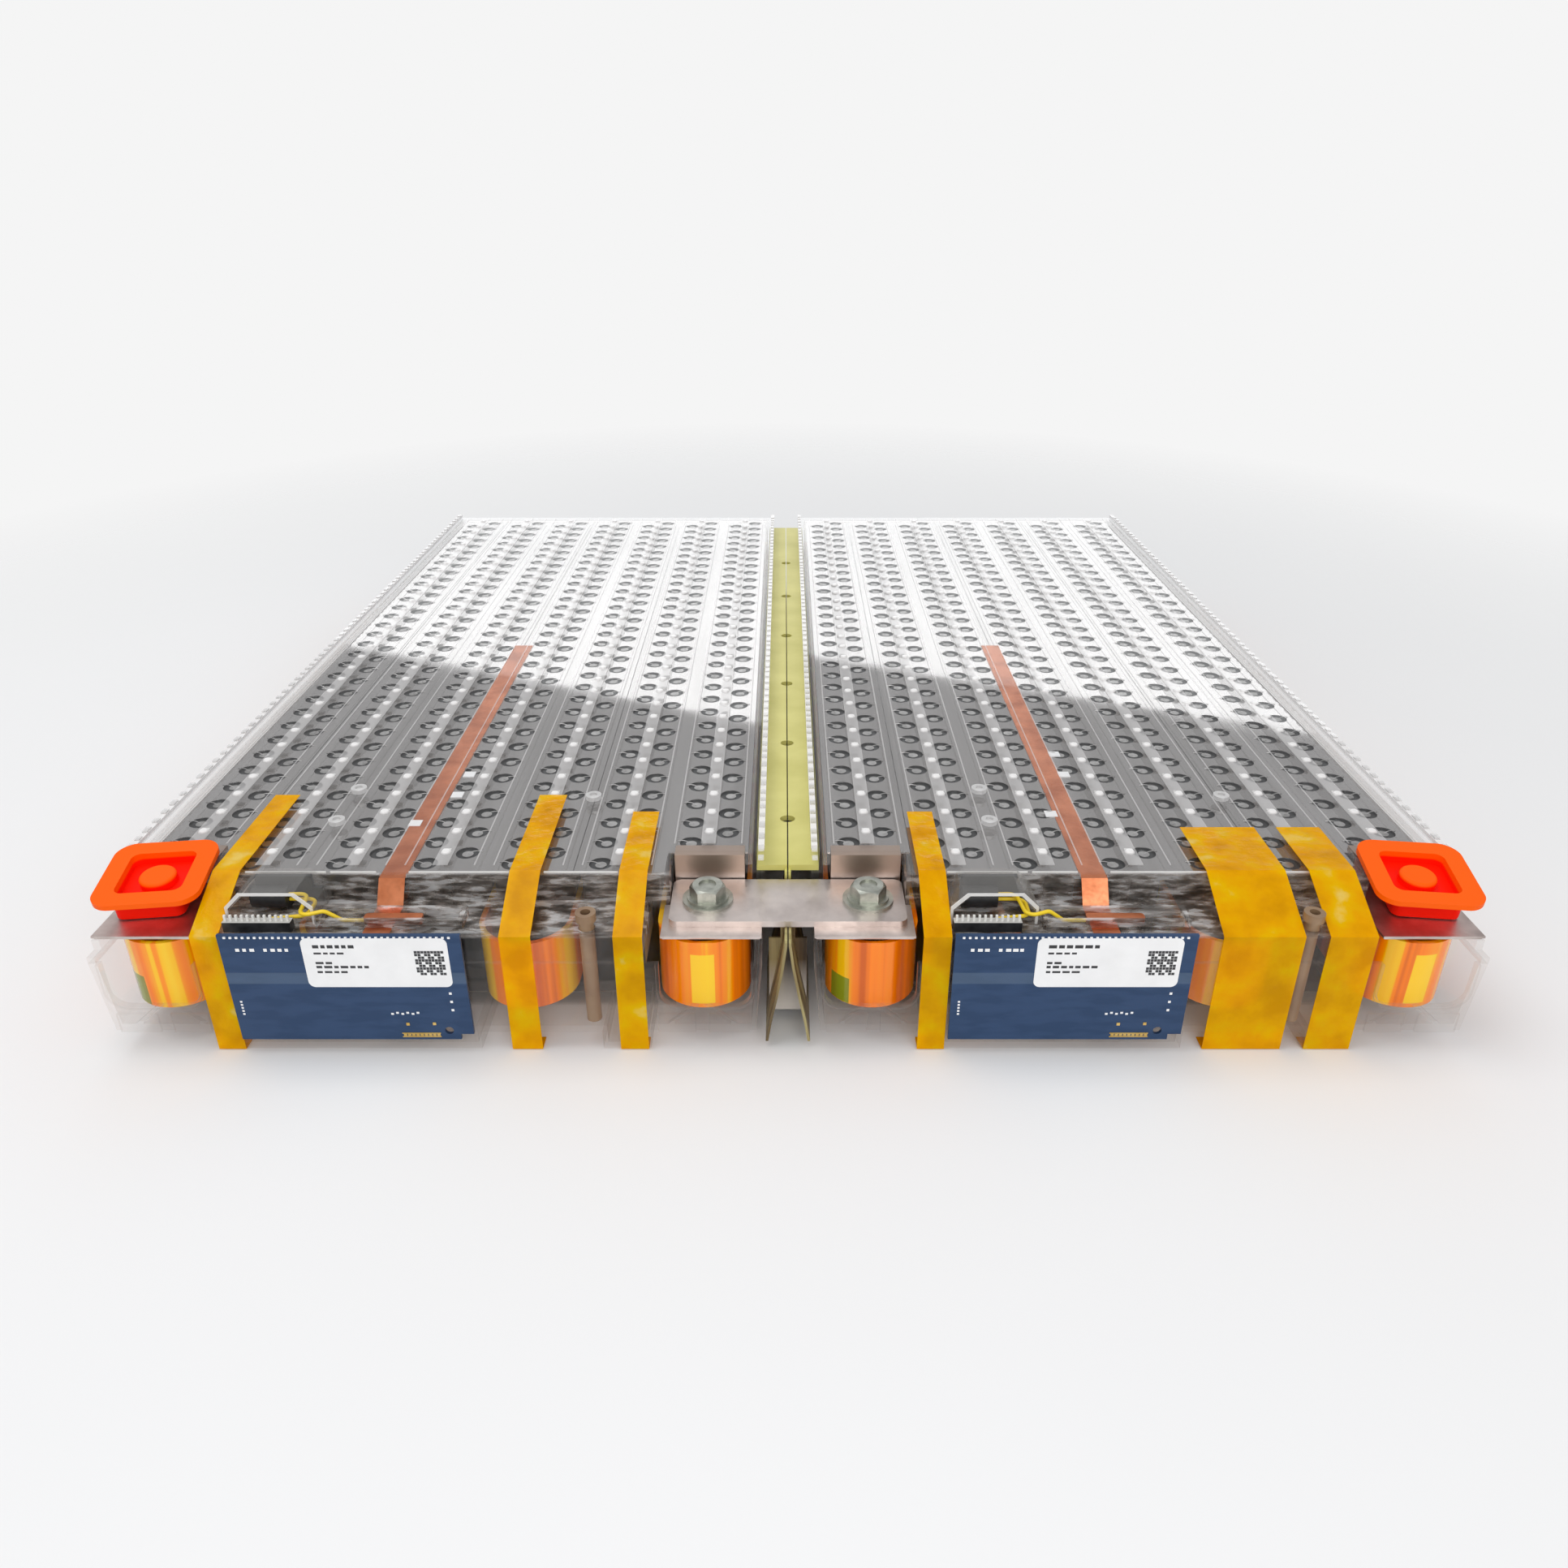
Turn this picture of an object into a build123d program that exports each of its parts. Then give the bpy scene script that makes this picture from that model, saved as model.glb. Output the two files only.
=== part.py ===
from build123d import *
import os

# Two identical 444-cell traction battery modules, side by side and bolted together by one link plate.
# X runs across the pair, Y runs back from the terminal end, Z is up. The origin is at the middle of
# the pair's footprint, on the surface that it stands on. Each module is modelled about its own
# centre line with its front plane at y = 0, and is then moved to its place in the pair.

os.makedirs("parts", exist_ok=True)

# ---- Overall sizes (mm) ------------------------------------------------------------------------
MODULE_LENGTH = 685.0
MODULE_WIDTH = 300.0
MODULE_HEIGHT = 78.0
MODULE_GAP = 22.0
MODULE_PITCH = MODULE_WIDTH + MODULE_GAP

# ---- Cells -------------------------------------------------------------------------------------
CELL_RADIUS = 9.2
CELL_LENGTH = 65.0
CELL_PITCH = 19.8
CELLS_PER_ROW = 32
DOUBLE_ROWS = 7
DOUBLE_ROW_PITCH = 41.0
ROW_SEPARATION = 17.2
CELL_CLEARANCE = 0.15
END_GAP = 1.1
CELL_SEAT = 0.4

# ---- Housing -----------------------------------------------------------------------------------
WALL = 2.0
SIDE_LIP = 4.0
BODY_HALF = MODULE_WIDTH / 2 - SIDE_LIP
BAY_DEPTH = 33.0
BAY_FRONT = 4.0
DECK_FRONT = BAY_FRONT + BAY_DEPTH
POCKET_DEPTH = 20.0
POCKET_BACK = DECK_FRONT + POCKET_DEPTH
POCKET_INNER = 106.5
SPLIT_HEIGHT = 48.0
BOTTOM_COVER_THICKNESS = 1.2
COVER_SHEET = 1.2
COVER_RISE = 2.8
COVER_BASE = MODULE_HEIGHT - COVER_RISE - COVER_SHEET
LIP_WIDTH = 3.0
LIP_DROP = 4.0
FLANGE_TOP = 63.0
FLANGE_THICKNESS = 3.0
HOLDER_THICKNESS = 6.0
HOLDER_CLEARANCE = 0.1
LEDGE_WIDTH = 1.5
LEDGE_HEIGHT = 2.0
COLLECTOR_THICKNESS = 0.5
COLLECTOR_GAP = 0.4
WINDOW_RADIUS = 5.5
BOND_SPACE = 2.0

# ---- Front bay ---------------------------------------------------------------------------------
BAY_FLOOR = 2.0
BAY_HALF = 149.5
CORNER_TAPER = 3.2
CORNER_LIP = 3.0
POCKET_BASE = 11.0
MIDDLE_BASE = 10.0
TRAY_BASE = 0.6
BOARD_TRAY_LEFT = -98.0
BOARD_TRAY_RIGHT = 20.0
PORT_TRAY_LEFT = 76.0
PORT_TRAY_RIGHT = 98.0
BAY_ROOF = 62.0
ROOF_THICKNESS = 2.0
OPENING_INNER = 103.4
OPENING_OUTER = 144.5
OPENING_BASE = 25.0
OPENING_CORNER = 8.0
OPENING_RIM = 1.4
SILL_INNER = 102.0
SILL_OUTER = 143.5
SILL_SPLIT = 122.0
SILL_SPLIT_WIDTH = 6.0
SILL_HEIGHT = 10.0
SILL_DEPTH = 1.4
BRACE_WIDTH = 3.0
BRACE_HEIGHT = 11.0
BRACE_RUN = 14.0
LIP_BOX_LEFT = -48.0
LIP_BOX_RIGHT = 17.0
LIP_BOX_FRONT = 10.0
LIP_BOX_BACK = 22.0
LIP_BOX_HEIGHT = 5.0

# ---- Coolant ribbon ----------------------------------------------------------------------------
RIBBON_THICKNESS = 2.4
RIBBON_BOTTOM = 20.0
RIBBON_TOP = 55.0
RIBBON_FRONT = 8.5
RIBBON_CLEARANCE = 0.3
RIBBON_BACK_MARGIN = 9.0

# ---- Terminals and link ------------------------------------------------------------------------
TERMINAL_X = 124.0
TERMINAL_Y = 36.0
TAB_WIDTH = 33.0
TAB_FRONT = 10.5
TAB_WING_INNER = 104.0
TAB_WING_OUTER = 149.2
TAB_WING_BACK = 36.4
TAB_STEP = 0.8
TAB_BOTTOM = 56.0
TAB_THICKNESS = 2.0
LAP_LENGTH = 5.0
LAP_THICKNESS = 1.4
PEDESTAL_WIDTH = 22.0
PEDESTAL_HEIGHT = 12.0
BOLT_RADIUS = 4.0
BOLT_CLEARANCE = 0.4
NUT_FLATS = 13.0
NUT_HEIGHT = 6.5
HEAD_FLATS = 14.5
HEAD_HEIGHT = 6.0
WASHER_RADIUS = 11.7
WASHER_HEIGHT = 1.4
COLLAR_RADIUS = 9.6
COLLAR_HEIGHT = 1.2
LINK_WIDTH = 36.0
LINK_OVERHANG = 17.0
LINK_THICKNESS = 3.0
LINK_CORNER = 4.0

# ---- Terminal cap ------------------------------------------------------------------------------
CAP_OFFSET = 2.0
CAP_Y = 33.5
CAP_TURN = 7.0
CAP_TILT = 7.0
CAP_WIDTH = 46.0
CAP_SKIRT_WIDTH = 30.0
CAP_SKIRT_FRONT = -10.5
CAP_SKIRT_REAR = 16.0
CAP_SKIRT_DROP = 15.5
CAP_SKIRT_OUTWARD = 4.5
CAP_RIM_HEIGHT = 75.3
CAP_WALL = 2.0
CAP_CORNER = 9.0
CAP_FLANGE_THICKNESS = 2.6
CAP_RECESS = 6.0
CAP_RECESS_HALF = 14.5
CAP_RECESS_CORNER = 4.0
CAP_FLOOR = 1.5
CAP_BOSS_RADIUS = 8.0
CAP_BOSS_RISE = 4.5

# ---- Control board -----------------------------------------------------------------------------
BOARD_LEFT = -88.0
BOARD_WIDTH = 106.0
BOARD_BOTTOM = 8.0
BOARD_HEIGHT = 57.0
BOARD_THICKNESS = 1.6
BOARD_STANDOFF = 1.2
BOARD_INSET = 7.0
STANDOFF_RADIUS = 3.0
LABEL_WIDTH = 64.0
LABEL_HEIGHT = 26.0
LABEL_RIGHT_MARGIN = 6.0
LABEL_TOP_MARGIN = 1.5
LABEL_THICKNESS = 0.2
LABEL_CORNER = 3.0
HEADER_X = -73.0
HEADER_PINS = 12
HEADER_FRONT = 8.0
HEADER_PIN_PITCH = 2.5
HEADER_HEIGHT = 5.0
HEADER_DEPTH = 4.0
HOOD_LEFT = -88.6
HOOD_RIGHT = -50.0
HOOD_WALL = 1.4
HOOD_FRONT = 15.0
HOOD_TOP = 77.5
HOOD_CHAMFER = 7.0
CONNECTOR_X = -15.0
CONNECTOR_WIDTH = 26.0
CONNECTOR_DEPTH = 5.0
CONNECTOR_HEIGHT = 3.0
FLEX_X = -20.5
FLEX_WIDTH = 12.0
FLEX_THICKNESS = 0.3
FLEX_LENGTH = 305.0
SLEEVE_RADIUS = 5.0
SLEEVE_LEFT = -82.0
SLEEVE_RIGHT = -66.0
SLEEVE_Y = 29.5
WIRE_RADIUS = 0.9
WIRE_SPACING = 2.6

# ---- Deck details ------------------------------------------------------------------------------
RIB_WIDTH = 0.7
RIB_HEIGHT = 0.5
RIB_OFFSET = 4.5
BEAD_STRIP_WIDTH = 7.0
BEAD_BASE_RADIUS = 3.0
BEAD_TOP_RADIUS = 1.6
BEAD_HEIGHT = 1.2
RIVET_RADIUS = 4.0
RIVET_HEIGHT = 2.2
RIVET_PLACES = ((-61.5, 84.0), (-61.5, 118.0), (61.5, 110.0))
TAPE_THICKNESS = 0.3
TAPE_WRAP = 8.0
STRIP_THICKNESS = 3.0
STRIP_SEAM = 0.6
STRIP_HOLE_RADIUS = 3.5
STRIP_HOLE_PITCH = 92.0
CURTAIN_THICKNESS = 1.2
CURTAIN_FRONT = 6.0
CURTAIN_BACK = 72.0
CURTAIN_BASE = 3.0
FITTING_X = 71.5
FITTING_Y = 12.0
FITTING_RADIUS = 3.4
FITTING_BORE = 2.3
FITTING_COLLAR = 1.2
FITTING_TOP = 70.0

# ---- Heights that follow -----------------------------------------------------------------------
HOLDER_TOP = COVER_BASE - BOND_SPACE
CELL_BASE = HOLDER_TOP - CELL_SEAT - CELL_LENGTH
LOWER_HOLDER_BASE = CELL_BASE - CELL_SEAT
TAB_TOP = TAB_BOTTOM + TAB_THICKNESS
LINK_TOP = TAB_TOP + LINK_THICKNESS
BOARD_BACK = BAY_FRONT - BOARD_STANDOFF
BOARD_FRONT = BOARD_BACK - BOARD_THICKNESS
BOARD_TOP = BOARD_BOTTOM + BOARD_HEIGHT
DECK_TOP = COVER_BASE + COVER_SHEET
CAVITY_HALF = BODY_HALF - WALL


# ---- Small helpers -----------------------------------------------------------------------------
def block(x0, x1, y0, y1, z0, z1):
    """A box between two corners."""
    return Pos((x0 + x1) / 2, (y0 + y1) / 2, (z0 + z1) / 2) * Box(x1 - x0, y1 - y0, z1 - z0)


def prism(points, height, base):
    """A plan outline, given as x and y, raised from a base height."""
    outline = Wire.make_polygon([Vector(x, y, base) for x, y in points], close=True)
    return Part(Solid.extrude(Face(outline), Vector(0, 0, height)).wrapped)


def side_profile(points, x0, x1):
    """A side outline, given as y and z, drawn out from x0 to x1."""
    outline = Wire.make_polygon([Vector(x0, y, z) for y, z in points], close=True)
    return Part(Solid.extrude(Face(outline), Vector(x1 - x0, 0, 0)).wrapped)


def front_profile(points, y0, y1):
    """A front outline, given as x and z, drawn out from y0 to y1."""
    outline = Wire.make_polygon([Vector(x, y0, z) for x, z in points], close=True)
    return Part(Solid.extrude(Face(outline), Vector(0, y1 - y0, 0)).wrapped)


def upright(radius, x, y, z0, z1):
    """A round bar along Z."""
    return Pos(x, y, (z0 + z1) / 2) * Cylinder(radius, z1 - z0)


def hexagon(flats, x, y, z0, z1):
    """A hexagonal bar along Z, given by its width across flats."""
    return Pos(x, y, z0) * extrude(RegularPolygon(flats / 2, 6, major_radius=False), z1 - z0)


def rounded_block(x0, x1, y0, y1, z0, z1, corner):
    """A box with rounded upright edges."""
    outline = RectangleRounded(x1 - x0, y1 - y0, corner)
    return Pos((x0 + x1) / 2, (y0 + y1) / 2, z0) * extrude(outline, z1 - z0)


def perforated(outline, centres, radius, base, thickness):
    """A flat plate with a round hole at each centre."""
    edge = Wire.make_polygon([Vector(x, y, base) for x, y in outline], close=True)
    holes = [Wire.make_circle(radius, Plane(origin=(x, y, base))) for x, y in centres]
    return Part(Solid.extrude(Face(edge, holes), Vector(0, 0, thickness)).wrapped)


def footprint(inset):
    """The plan of the cell box, set in from its outer faces, with a pocket at each front corner."""
    half = BODY_HALF - inset
    jog = POCKET_INNER - inset
    front = DECK_FRONT + inset
    pocket = POCKET_BACK + inset
    back = MODULE_LENGTH - inset
    return (
        (-half, pocket), (-jog, pocket), (-jog, front), (jog, front),
        (jog, pocket), (half, pocket), (half, back), (-half, back),
    )


def cell_centres():
    """The 444 cell axes: staggered double rows, with four rows one cell short at the pockets."""
    first = DECK_FRONT + WALL + END_GAP + CELL_RADIUS
    centres = []
    for double_row in range(DOUBLE_ROWS):
        middle = (double_row - (DOUBLE_ROWS - 1) / 2) * DOUBLE_ROW_PITCH
        short = 1 if double_row in (0, DOUBLE_ROWS - 1) else 0
        for side in (-1, 1):
            x = middle + side * ROW_SEPARATION / 2
            stagger = CELL_PITCH / 4 * (1 + side)
            for index in range(short, CELLS_PER_ROW):
                centres.append((x, first + stagger + index * CELL_PITCH))
    return centres


CENTRES = cell_centres()


def ribbon_lines():
    """The x of each straight run of the coolant ribbon, from the left wall to the right wall."""
    outer = CAVITY_HALF - RIBBON_CLEARANCE - RIBBON_THICKNESS / 2
    inner = [(line - DOUBLE_ROWS / 2 + 1) * DOUBLE_ROW_PITCH for line in range(-1, DOUBLE_ROWS)]
    return [-outer] + inner[1:-1] + [outer]


# ---- Housing -----------------------------------------------------------------------------------
def make_bottom_cover():
    """The clear sheet that closes the underside of the cell box, with stiffening ribs."""
    sheet = prism(footprint(0), BOTTOM_COVER_THICKNESS, 0)
    ribs = Part()
    inset = WALL + 1
    for line in ribbon_lines()[1:-1]:
        front = POCKET_BACK + inset
        back = MODULE_LENGTH - inset
        top = LOWER_HOLDER_BASE - COLLECTOR_THICKNESS
        ribs += block(line - 1, line + 1, front, back, BOTTOM_COVER_THICKNESS - 0.2, top)
    return sheet + ribs


def cell_box_wall(z0, z1):
    """The upright wall of the cell box between two heights."""
    outer = prism(footprint(0), z1 - z0, z0)
    return outer - prism(footprint(WALL), z1 - z0, z0)


def holder_ledges(top):
    """The two long shelves inside the side walls that a cell holder lies on."""
    ledges = Part()
    front = POCKET_BACK + WALL / 2
    back = MODULE_LENGTH - WALL / 2
    for side in (-1, 1):
        x0, x1 = sorted((side * (CAVITY_HALF - LEDGE_WIDTH), side * (CAVITY_HALF + WALL / 2)))
        ledges += block(x0, x1, front, back, top - LEDGE_HEIGHT, top)
    return ledges


def ribbon_slots():
    """The openings in the front walls where the ribbon passes out to its bends."""
    slots = Part()
    half = RIBBON_THICKNESS / 2 + RIBBON_CLEARANCE
    low = RIBBON_BOTTOM - RIBBON_CLEARANCE
    high = RIBBON_TOP + RIBBON_CLEARANCE
    for line in ribbon_lines():
        slots += block(line - half, line + half, DECK_FRONT - 1, POCKET_BACK + WALL + 1, low, high)
    return slots


def bay_outline(inset, top):
    """The front view of the bay's lower half: a stepped floor and corners that taper to the base."""
    half = BAY_HALF - inset
    foot = half - CORNER_TAPER
    board_left = BOARD_TRAY_LEFT + inset
    board_right = BOARD_TRAY_RIGHT - inset
    port_left = PORT_TRAY_LEFT + inset
    port_right = PORT_TRAY_RIGHT - inset
    pocket = POCKET_BASE + inset
    middle = MIDDLE_BASE + inset
    tray = TRAY_BASE + inset
    return (
        (-half, top), (-half, SPLIT_HEIGHT), (-foot, pocket), (board_left, pocket), (board_left, tray),
        (board_right, tray), (board_right, middle), (port_left, middle), (port_left, tray),
        (port_right, tray), (port_right, pocket), (foot, pocket), (half, SPLIT_HEIGHT), (half, top),
    )


def corner_outline(inset, base, top):
    """The front view of one pocket corner, from the pocket's inner wall to the tapered outer wall."""
    half = BAY_HALF - inset
    foot = half - CORNER_TAPER
    return ((POCKET_INNER, base), (foot, base), (half, SPLIT_HEIGHT), (half, top), (POCKET_INNER, top))


def mirrored(points, side):
    """The outline itself, or its mirror image for the left side."""
    return [(side * x, z) for x, z in points]


def pocket_opening(grow, y0, y1):
    """The opening with rounded lower corners in front of a ribbon bend, on the right side."""
    left = OPENING_INNER - grow
    right = OPENING_OUTER + grow
    low = OPENING_BASE - grow
    high = low + 80
    width = right - left
    outline = RectangleRounded(width, high - low, OPENING_CORNER + grow)
    plane = Plane(origin=((left + right) / 2, y0, (low + high) / 2), x_dir=(1, 0, 0), z_dir=(0, -1, 0))
    return extrude(plane * outline, y0 - y1)


def pocket_front():
    """What stands proud on one pocket front, on the right side: the opening's rim and two sill bars."""
    face = BAY_FRONT + WALL / 2
    rim = pocket_opening(OPENING_RIM, face, BAY_FRONT - OPENING_RIM)
    rim -= pocket_opening(0, face + 1, BAY_FRONT - OPENING_RIM - 1)
    rim &= block(0, MODULE_WIDTH / 2, -5, face, 0, SPLIT_HEIGHT)
    half = SILL_SPLIT_WIDTH / 2
    for x0, x1 in ((SILL_INNER, SILL_SPLIT - half), (SILL_SPLIT + half, SILL_OUTER)):
        rim += block(x0, x1, BAY_FRONT - SILL_DEPTH, face, POCKET_BASE, POCKET_BASE + SILL_HEIGHT)
    back = BAY_FRONT + WALL + 2
    base = POCKET_BASE + BAY_FLOOR - 1
    for lean in (-1, 1):
        foot = SILL_SPLIT + lean * (BRACE_RUN + half)
        head = SILL_SPLIT + lean * half
        outline = (
            (foot, base), (foot - lean * BRACE_WIDTH, base), (head - lean * BRACE_WIDTH / 2, base + BRACE_HEIGHT),
            (head + lean * BRACE_WIDTH / 2, base + BRACE_HEIGHT),
        )
        rim += front_profile(outline, BAY_FRONT + WALL / 2, back)
    return rim


def make_lower_shell():
    """The lower half of the clear housing: a stepped front bay with an open, tapered pocket at each corner."""
    shell = cell_box_wall(BOTTOM_COVER_THICKNESS, SPLIT_HEIGHT)
    shell += holder_ledges(LOWER_HOLDER_BASE)
    bay = front_profile(bay_outline(0, SPLIT_HEIGHT), BAY_FRONT, DECK_FRONT)
    for side in (-1, 1):
        outline = mirrored(corner_outline(0, POCKET_BASE, SPLIT_HEIGHT), side)
        bay += front_profile(outline, DECK_FRONT, POCKET_BACK + WALL)
    bay -= front_profile(bay_outline(BAY_FLOOR, SPLIT_HEIGHT + 1), BAY_FRONT + WALL, DECK_FRONT)
    opening = pocket_opening(0, BAY_FRONT + WALL + 1, BAY_FRONT - 1)
    proud = pocket_front()
    for side in (-1, 1):
        outline = mirrored(corner_outline(BAY_FLOOR, POCKET_BASE + BAY_FLOOR, SPLIT_HEIGHT + 1), side)
        bay -= front_profile(outline, DECK_FRONT - 1, POCKET_BACK)
        x0, x1 = sorted((side * POCKET_INNER, side * (BODY_HALF - WALL)))
        bay -= block(x0, x1, POCKET_BACK, POCKET_BACK + WALL + 1, POCKET_BASE - 1, SPLIT_HEIGHT + 1)
        bay -= opening if side > 0 else mirror(opening, Plane.YZ)
        bay += proud if side > 0 else mirror(proud, Plane.YZ)
    shell += bay
    for x in (BOARD_LEFT + BOARD_INSET, BOARD_LEFT + BOARD_WIDTH - BOARD_INSET):
        shell += board_standoff(x, BOARD_BOTTOM + BOARD_INSET)
    return shell - ribbon_slots()


def board_standoff(x, z):
    """A short round pad that holds the board off the front wall."""
    middle = BAY_FRONT - BOARD_STANDOFF / 2 + WALL / 4
    length = BOARD_STANDOFF + WALL / 2
    return Pos(x, middle, z) * Rot(90, 0, 0) * Cylinder(STANDOFF_RADIUS, length)


def make_upper_shell():
    """The upper half of the clear housing: side flanges, bay roof and terminal pedestals."""
    shell = cell_box_wall(SPLIT_HEIGHT, COVER_BASE)
    shell += holder_ledges(HOLDER_TOP - HOLDER_THICKNESS)
    outer = prism(((BOARD_TRAY_LEFT, BAY_FRONT), (PORT_TRAY_RIGHT, BAY_FRONT), (PORT_TRAY_RIGHT, DECK_FRONT),
                   (BOARD_TRAY_LEFT, DECK_FRONT)), BAY_ROOF - SPLIT_HEIGHT, SPLIT_HEIGHT)
    inside = block(BOARD_TRAY_LEFT + WALL, PORT_TRAY_RIGHT - WALL, BAY_FRONT + WALL, DECK_FRONT,
                   SPLIT_HEIGHT - 1, BAY_ROOF - ROOF_THICKNESS)
    shell += outer - inside
    for side in (-1, 1):
        x0, x1 = sorted((side * BODY_HALF, side * BAY_HALF))
        shell += block(x0, x1, BAY_FRONT, POCKET_BACK + WALL, SPLIT_HEIGHT, FLANGE_TOP)
        shell += lip_box() if side > 0 else Part()
        x0, x1 = sorted((side * (BODY_HALF - WALL / 2), side * MODULE_WIDTH / 2))
        shell += block(x0, x1, BAY_FRONT, MODULE_LENGTH, FLANGE_TOP - FLANGE_THICKNESS, FLANGE_TOP)
        shell -= link_notch(side)
        shell += terminal_pedestal(side)
        shell -= nut_pocket(side)
        half = TAB_WIDTH / 2 + CELL_CLEARANCE
        x = side * TERMINAL_X
        shell -= block(x - half, x + half, POCKET_BACK - 1, POCKET_BACK + WALL + 1,
                       HOLDER_TOP + COLLECTOR_THICKNESS, COVER_BASE + 1)
    for x in (BOARD_LEFT + BOARD_INSET, BOARD_LEFT + BOARD_WIDTH - BOARD_INSET):
        shell += board_standoff(x, BOARD_TOP - BOARD_INSET - LABEL_TOP_MARGIN)
    half = FLEX_WIDTH / 2 + CELL_CLEARANCE
    shell -= block(FLEX_X - half, FLEX_X + half, DECK_FRONT - 1, DECK_FRONT + WALL + 1,
                   HOLDER_TOP + COLLECTOR_THICKNESS, COVER_BASE + 1)
    shell -= upright(FITTING_RADIUS + RIBBON_CLEARANCE, FITTING_X, FITTING_Y,
                     BAY_ROOF - ROOF_THICKNESS - 1, BAY_ROOF + 1)
    return shell - ribbon_slots()


def lip_box():
    """The raised rim on the bay roof round the flex connector."""
    outer = block(LIP_BOX_LEFT, LIP_BOX_RIGHT, LIP_BOX_FRONT, LIP_BOX_BACK, BAY_ROOF - 0.5, BAY_ROOF + LIP_BOX_HEIGHT)
    inner = block(LIP_BOX_LEFT + WALL, LIP_BOX_RIGHT - WALL, LIP_BOX_FRONT + WALL, LIP_BOX_BACK - WALL,
                  BAY_ROOF, BAY_ROOF + LIP_BOX_HEIGHT + 1)
    half = FLEX_WIDTH / 2 + CELL_CLEARANCE
    slot = block(FLEX_X - half, FLEX_X + half, LIP_BOX_FRONT - 1, LIP_BOX_BACK + 1, BAY_ROOF, BAY_ROOF + 1)
    return outer - inner - slot


def link_notch(side):
    """The gap in the side wall and flange that the terminal tab and the link pass through."""
    x0, x1 = sorted((side * POCKET_INNER, side * (MODULE_WIDTH / 2 + 1)))
    gap = block(x0, x1, BAY_FRONT - 1, POCKET_BACK, TAB_BOTTOM - CELL_CLEARANCE, FLANGE_TOP + 1)
    return gap + block(x0, x1, BAY_FRONT - 1, TAB_FRONT, SPLIT_HEIGHT + CORNER_LIP, FLANGE_TOP + 1)


def terminal_pedestal(side):
    """The bracket on the pocket's back wall that carries a terminal tab."""
    x = side * TERMINAL_X
    half = PEDESTAL_WIDTH / 2
    low = TAB_BOTTOM - PEDESTAL_HEIGHT
    near = POCKET_BACK - CELL_CLEARANCE
    profile = (
        (TERMINAL_Y - half, TAB_BOTTOM), (TERMINAL_Y - half, low), (near, low), (near, SPLIT_HEIGHT),
        (POCKET_BACK + WALL / 2, SPLIT_HEIGHT), (POCKET_BACK + WALL / 2, TAB_BOTTOM),
    )
    return side_profile(profile, x - half, x + half)


def nut_pocket(side):
    """The hexagonal pocket and through hole in a pedestal."""
    x = side * TERMINAL_X
    pocket = hexagon(NUT_FLATS + CELL_CLEARANCE, x, TERMINAL_Y, TAB_BOTTOM - NUT_HEIGHT, TAB_BOTTOM + 1)
    return pocket + upright(BOLT_RADIUS + BOLT_CLEARANCE, x, TERMINAL_Y, 30, TAB_BOTTOM)


def make_top_cover():
    """The clear deck sheet: side lips, fine ribs and a chain of raised beads along each double row."""
    lip = MODULE_WIDTH / 2
    sheet = prism(footprint(0), COVER_SHEET, COVER_BASE)
    back = MODULE_LENGTH
    for side in (-1, 1):
        x0, x1 = sorted((side * (BODY_HALF - WALL), side * lip))
        sheet += block(x0, x1, POCKET_BACK, back, COVER_BASE, DECK_TOP)
        x0, x1 = sorted((side * (lip - LIP_WIDTH), side * lip))
        sheet += block(x0, x1, POCKET_BACK, back, COVER_BASE - LIP_DROP, MODULE_HEIGHT)
    raised = []
    inset = 3 * WALL
    for index in range(DOUBLE_ROWS):
        middle = (index - (DOUBLE_ROWS - 1) / 2) * DOUBLE_ROW_PITCH
        front = POCKET_BACK if index in (0, DOUBLE_ROWS - 1) else DECK_FRONT
        half = BEAD_STRIP_WIDTH / 2
        raised.append(block(middle - half, middle + half, front + inset, back - inset, DECK_TOP, DECK_TOP + RIB_HEIGHT))
        for edge in (-1, 1):
            x = middle + edge * (DOUBLE_ROW_PITCH / 2 - RIB_OFFSET)
            half = RIB_WIDTH / 2
            raised.append(block(x - half, x + half, front + inset, back - inset, DECK_TOP, DECK_TOP + RIB_HEIGHT))
    return sheet.fuse(*raised).fuse(*deck_beads())


def deck_beads():
    """The raised beads that stand between the two rows of cells of each double row."""
    beads = []
    first = DECK_FRONT + WALL + END_GAP + CELL_RADIUS
    base = DECK_TOP + RIB_HEIGHT
    for index in range(DOUBLE_ROWS):
        middle = (index - (DOUBLE_ROWS - 1) / 2) * DOUBLE_ROW_PITCH
        short = 1 if index in (0, DOUBLE_ROWS - 1) else 0
        for step in range(short, CELLS_PER_ROW):
            y = first + (step + 0.5) * CELL_PITCH - CELL_PITCH / 4
            place = Plane(origin=(middle, y, base))
            beads.append(Solid.make_cone(BEAD_BASE_RADIUS, BEAD_TOP_RADIUS, BEAD_HEIGHT, place))
    return beads


def make_holder(base):
    """One cell holder plate, bored for every cell."""
    outline = footprint(WALL + HOLDER_CLEARANCE)
    return perforated(outline, CENTRES, CELL_RADIUS + CELL_CLEARANCE, base, HOLDER_THICKNESS)


def make_cells():
    """All cells of one module, standing in the holders."""
    cells = [Solid.make_cylinder(CELL_RADIUS, CELL_LENGTH, Plane(origin=(x, y, CELL_BASE))) for x, y in CENTRES]
    return Compound(children=cells)


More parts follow.
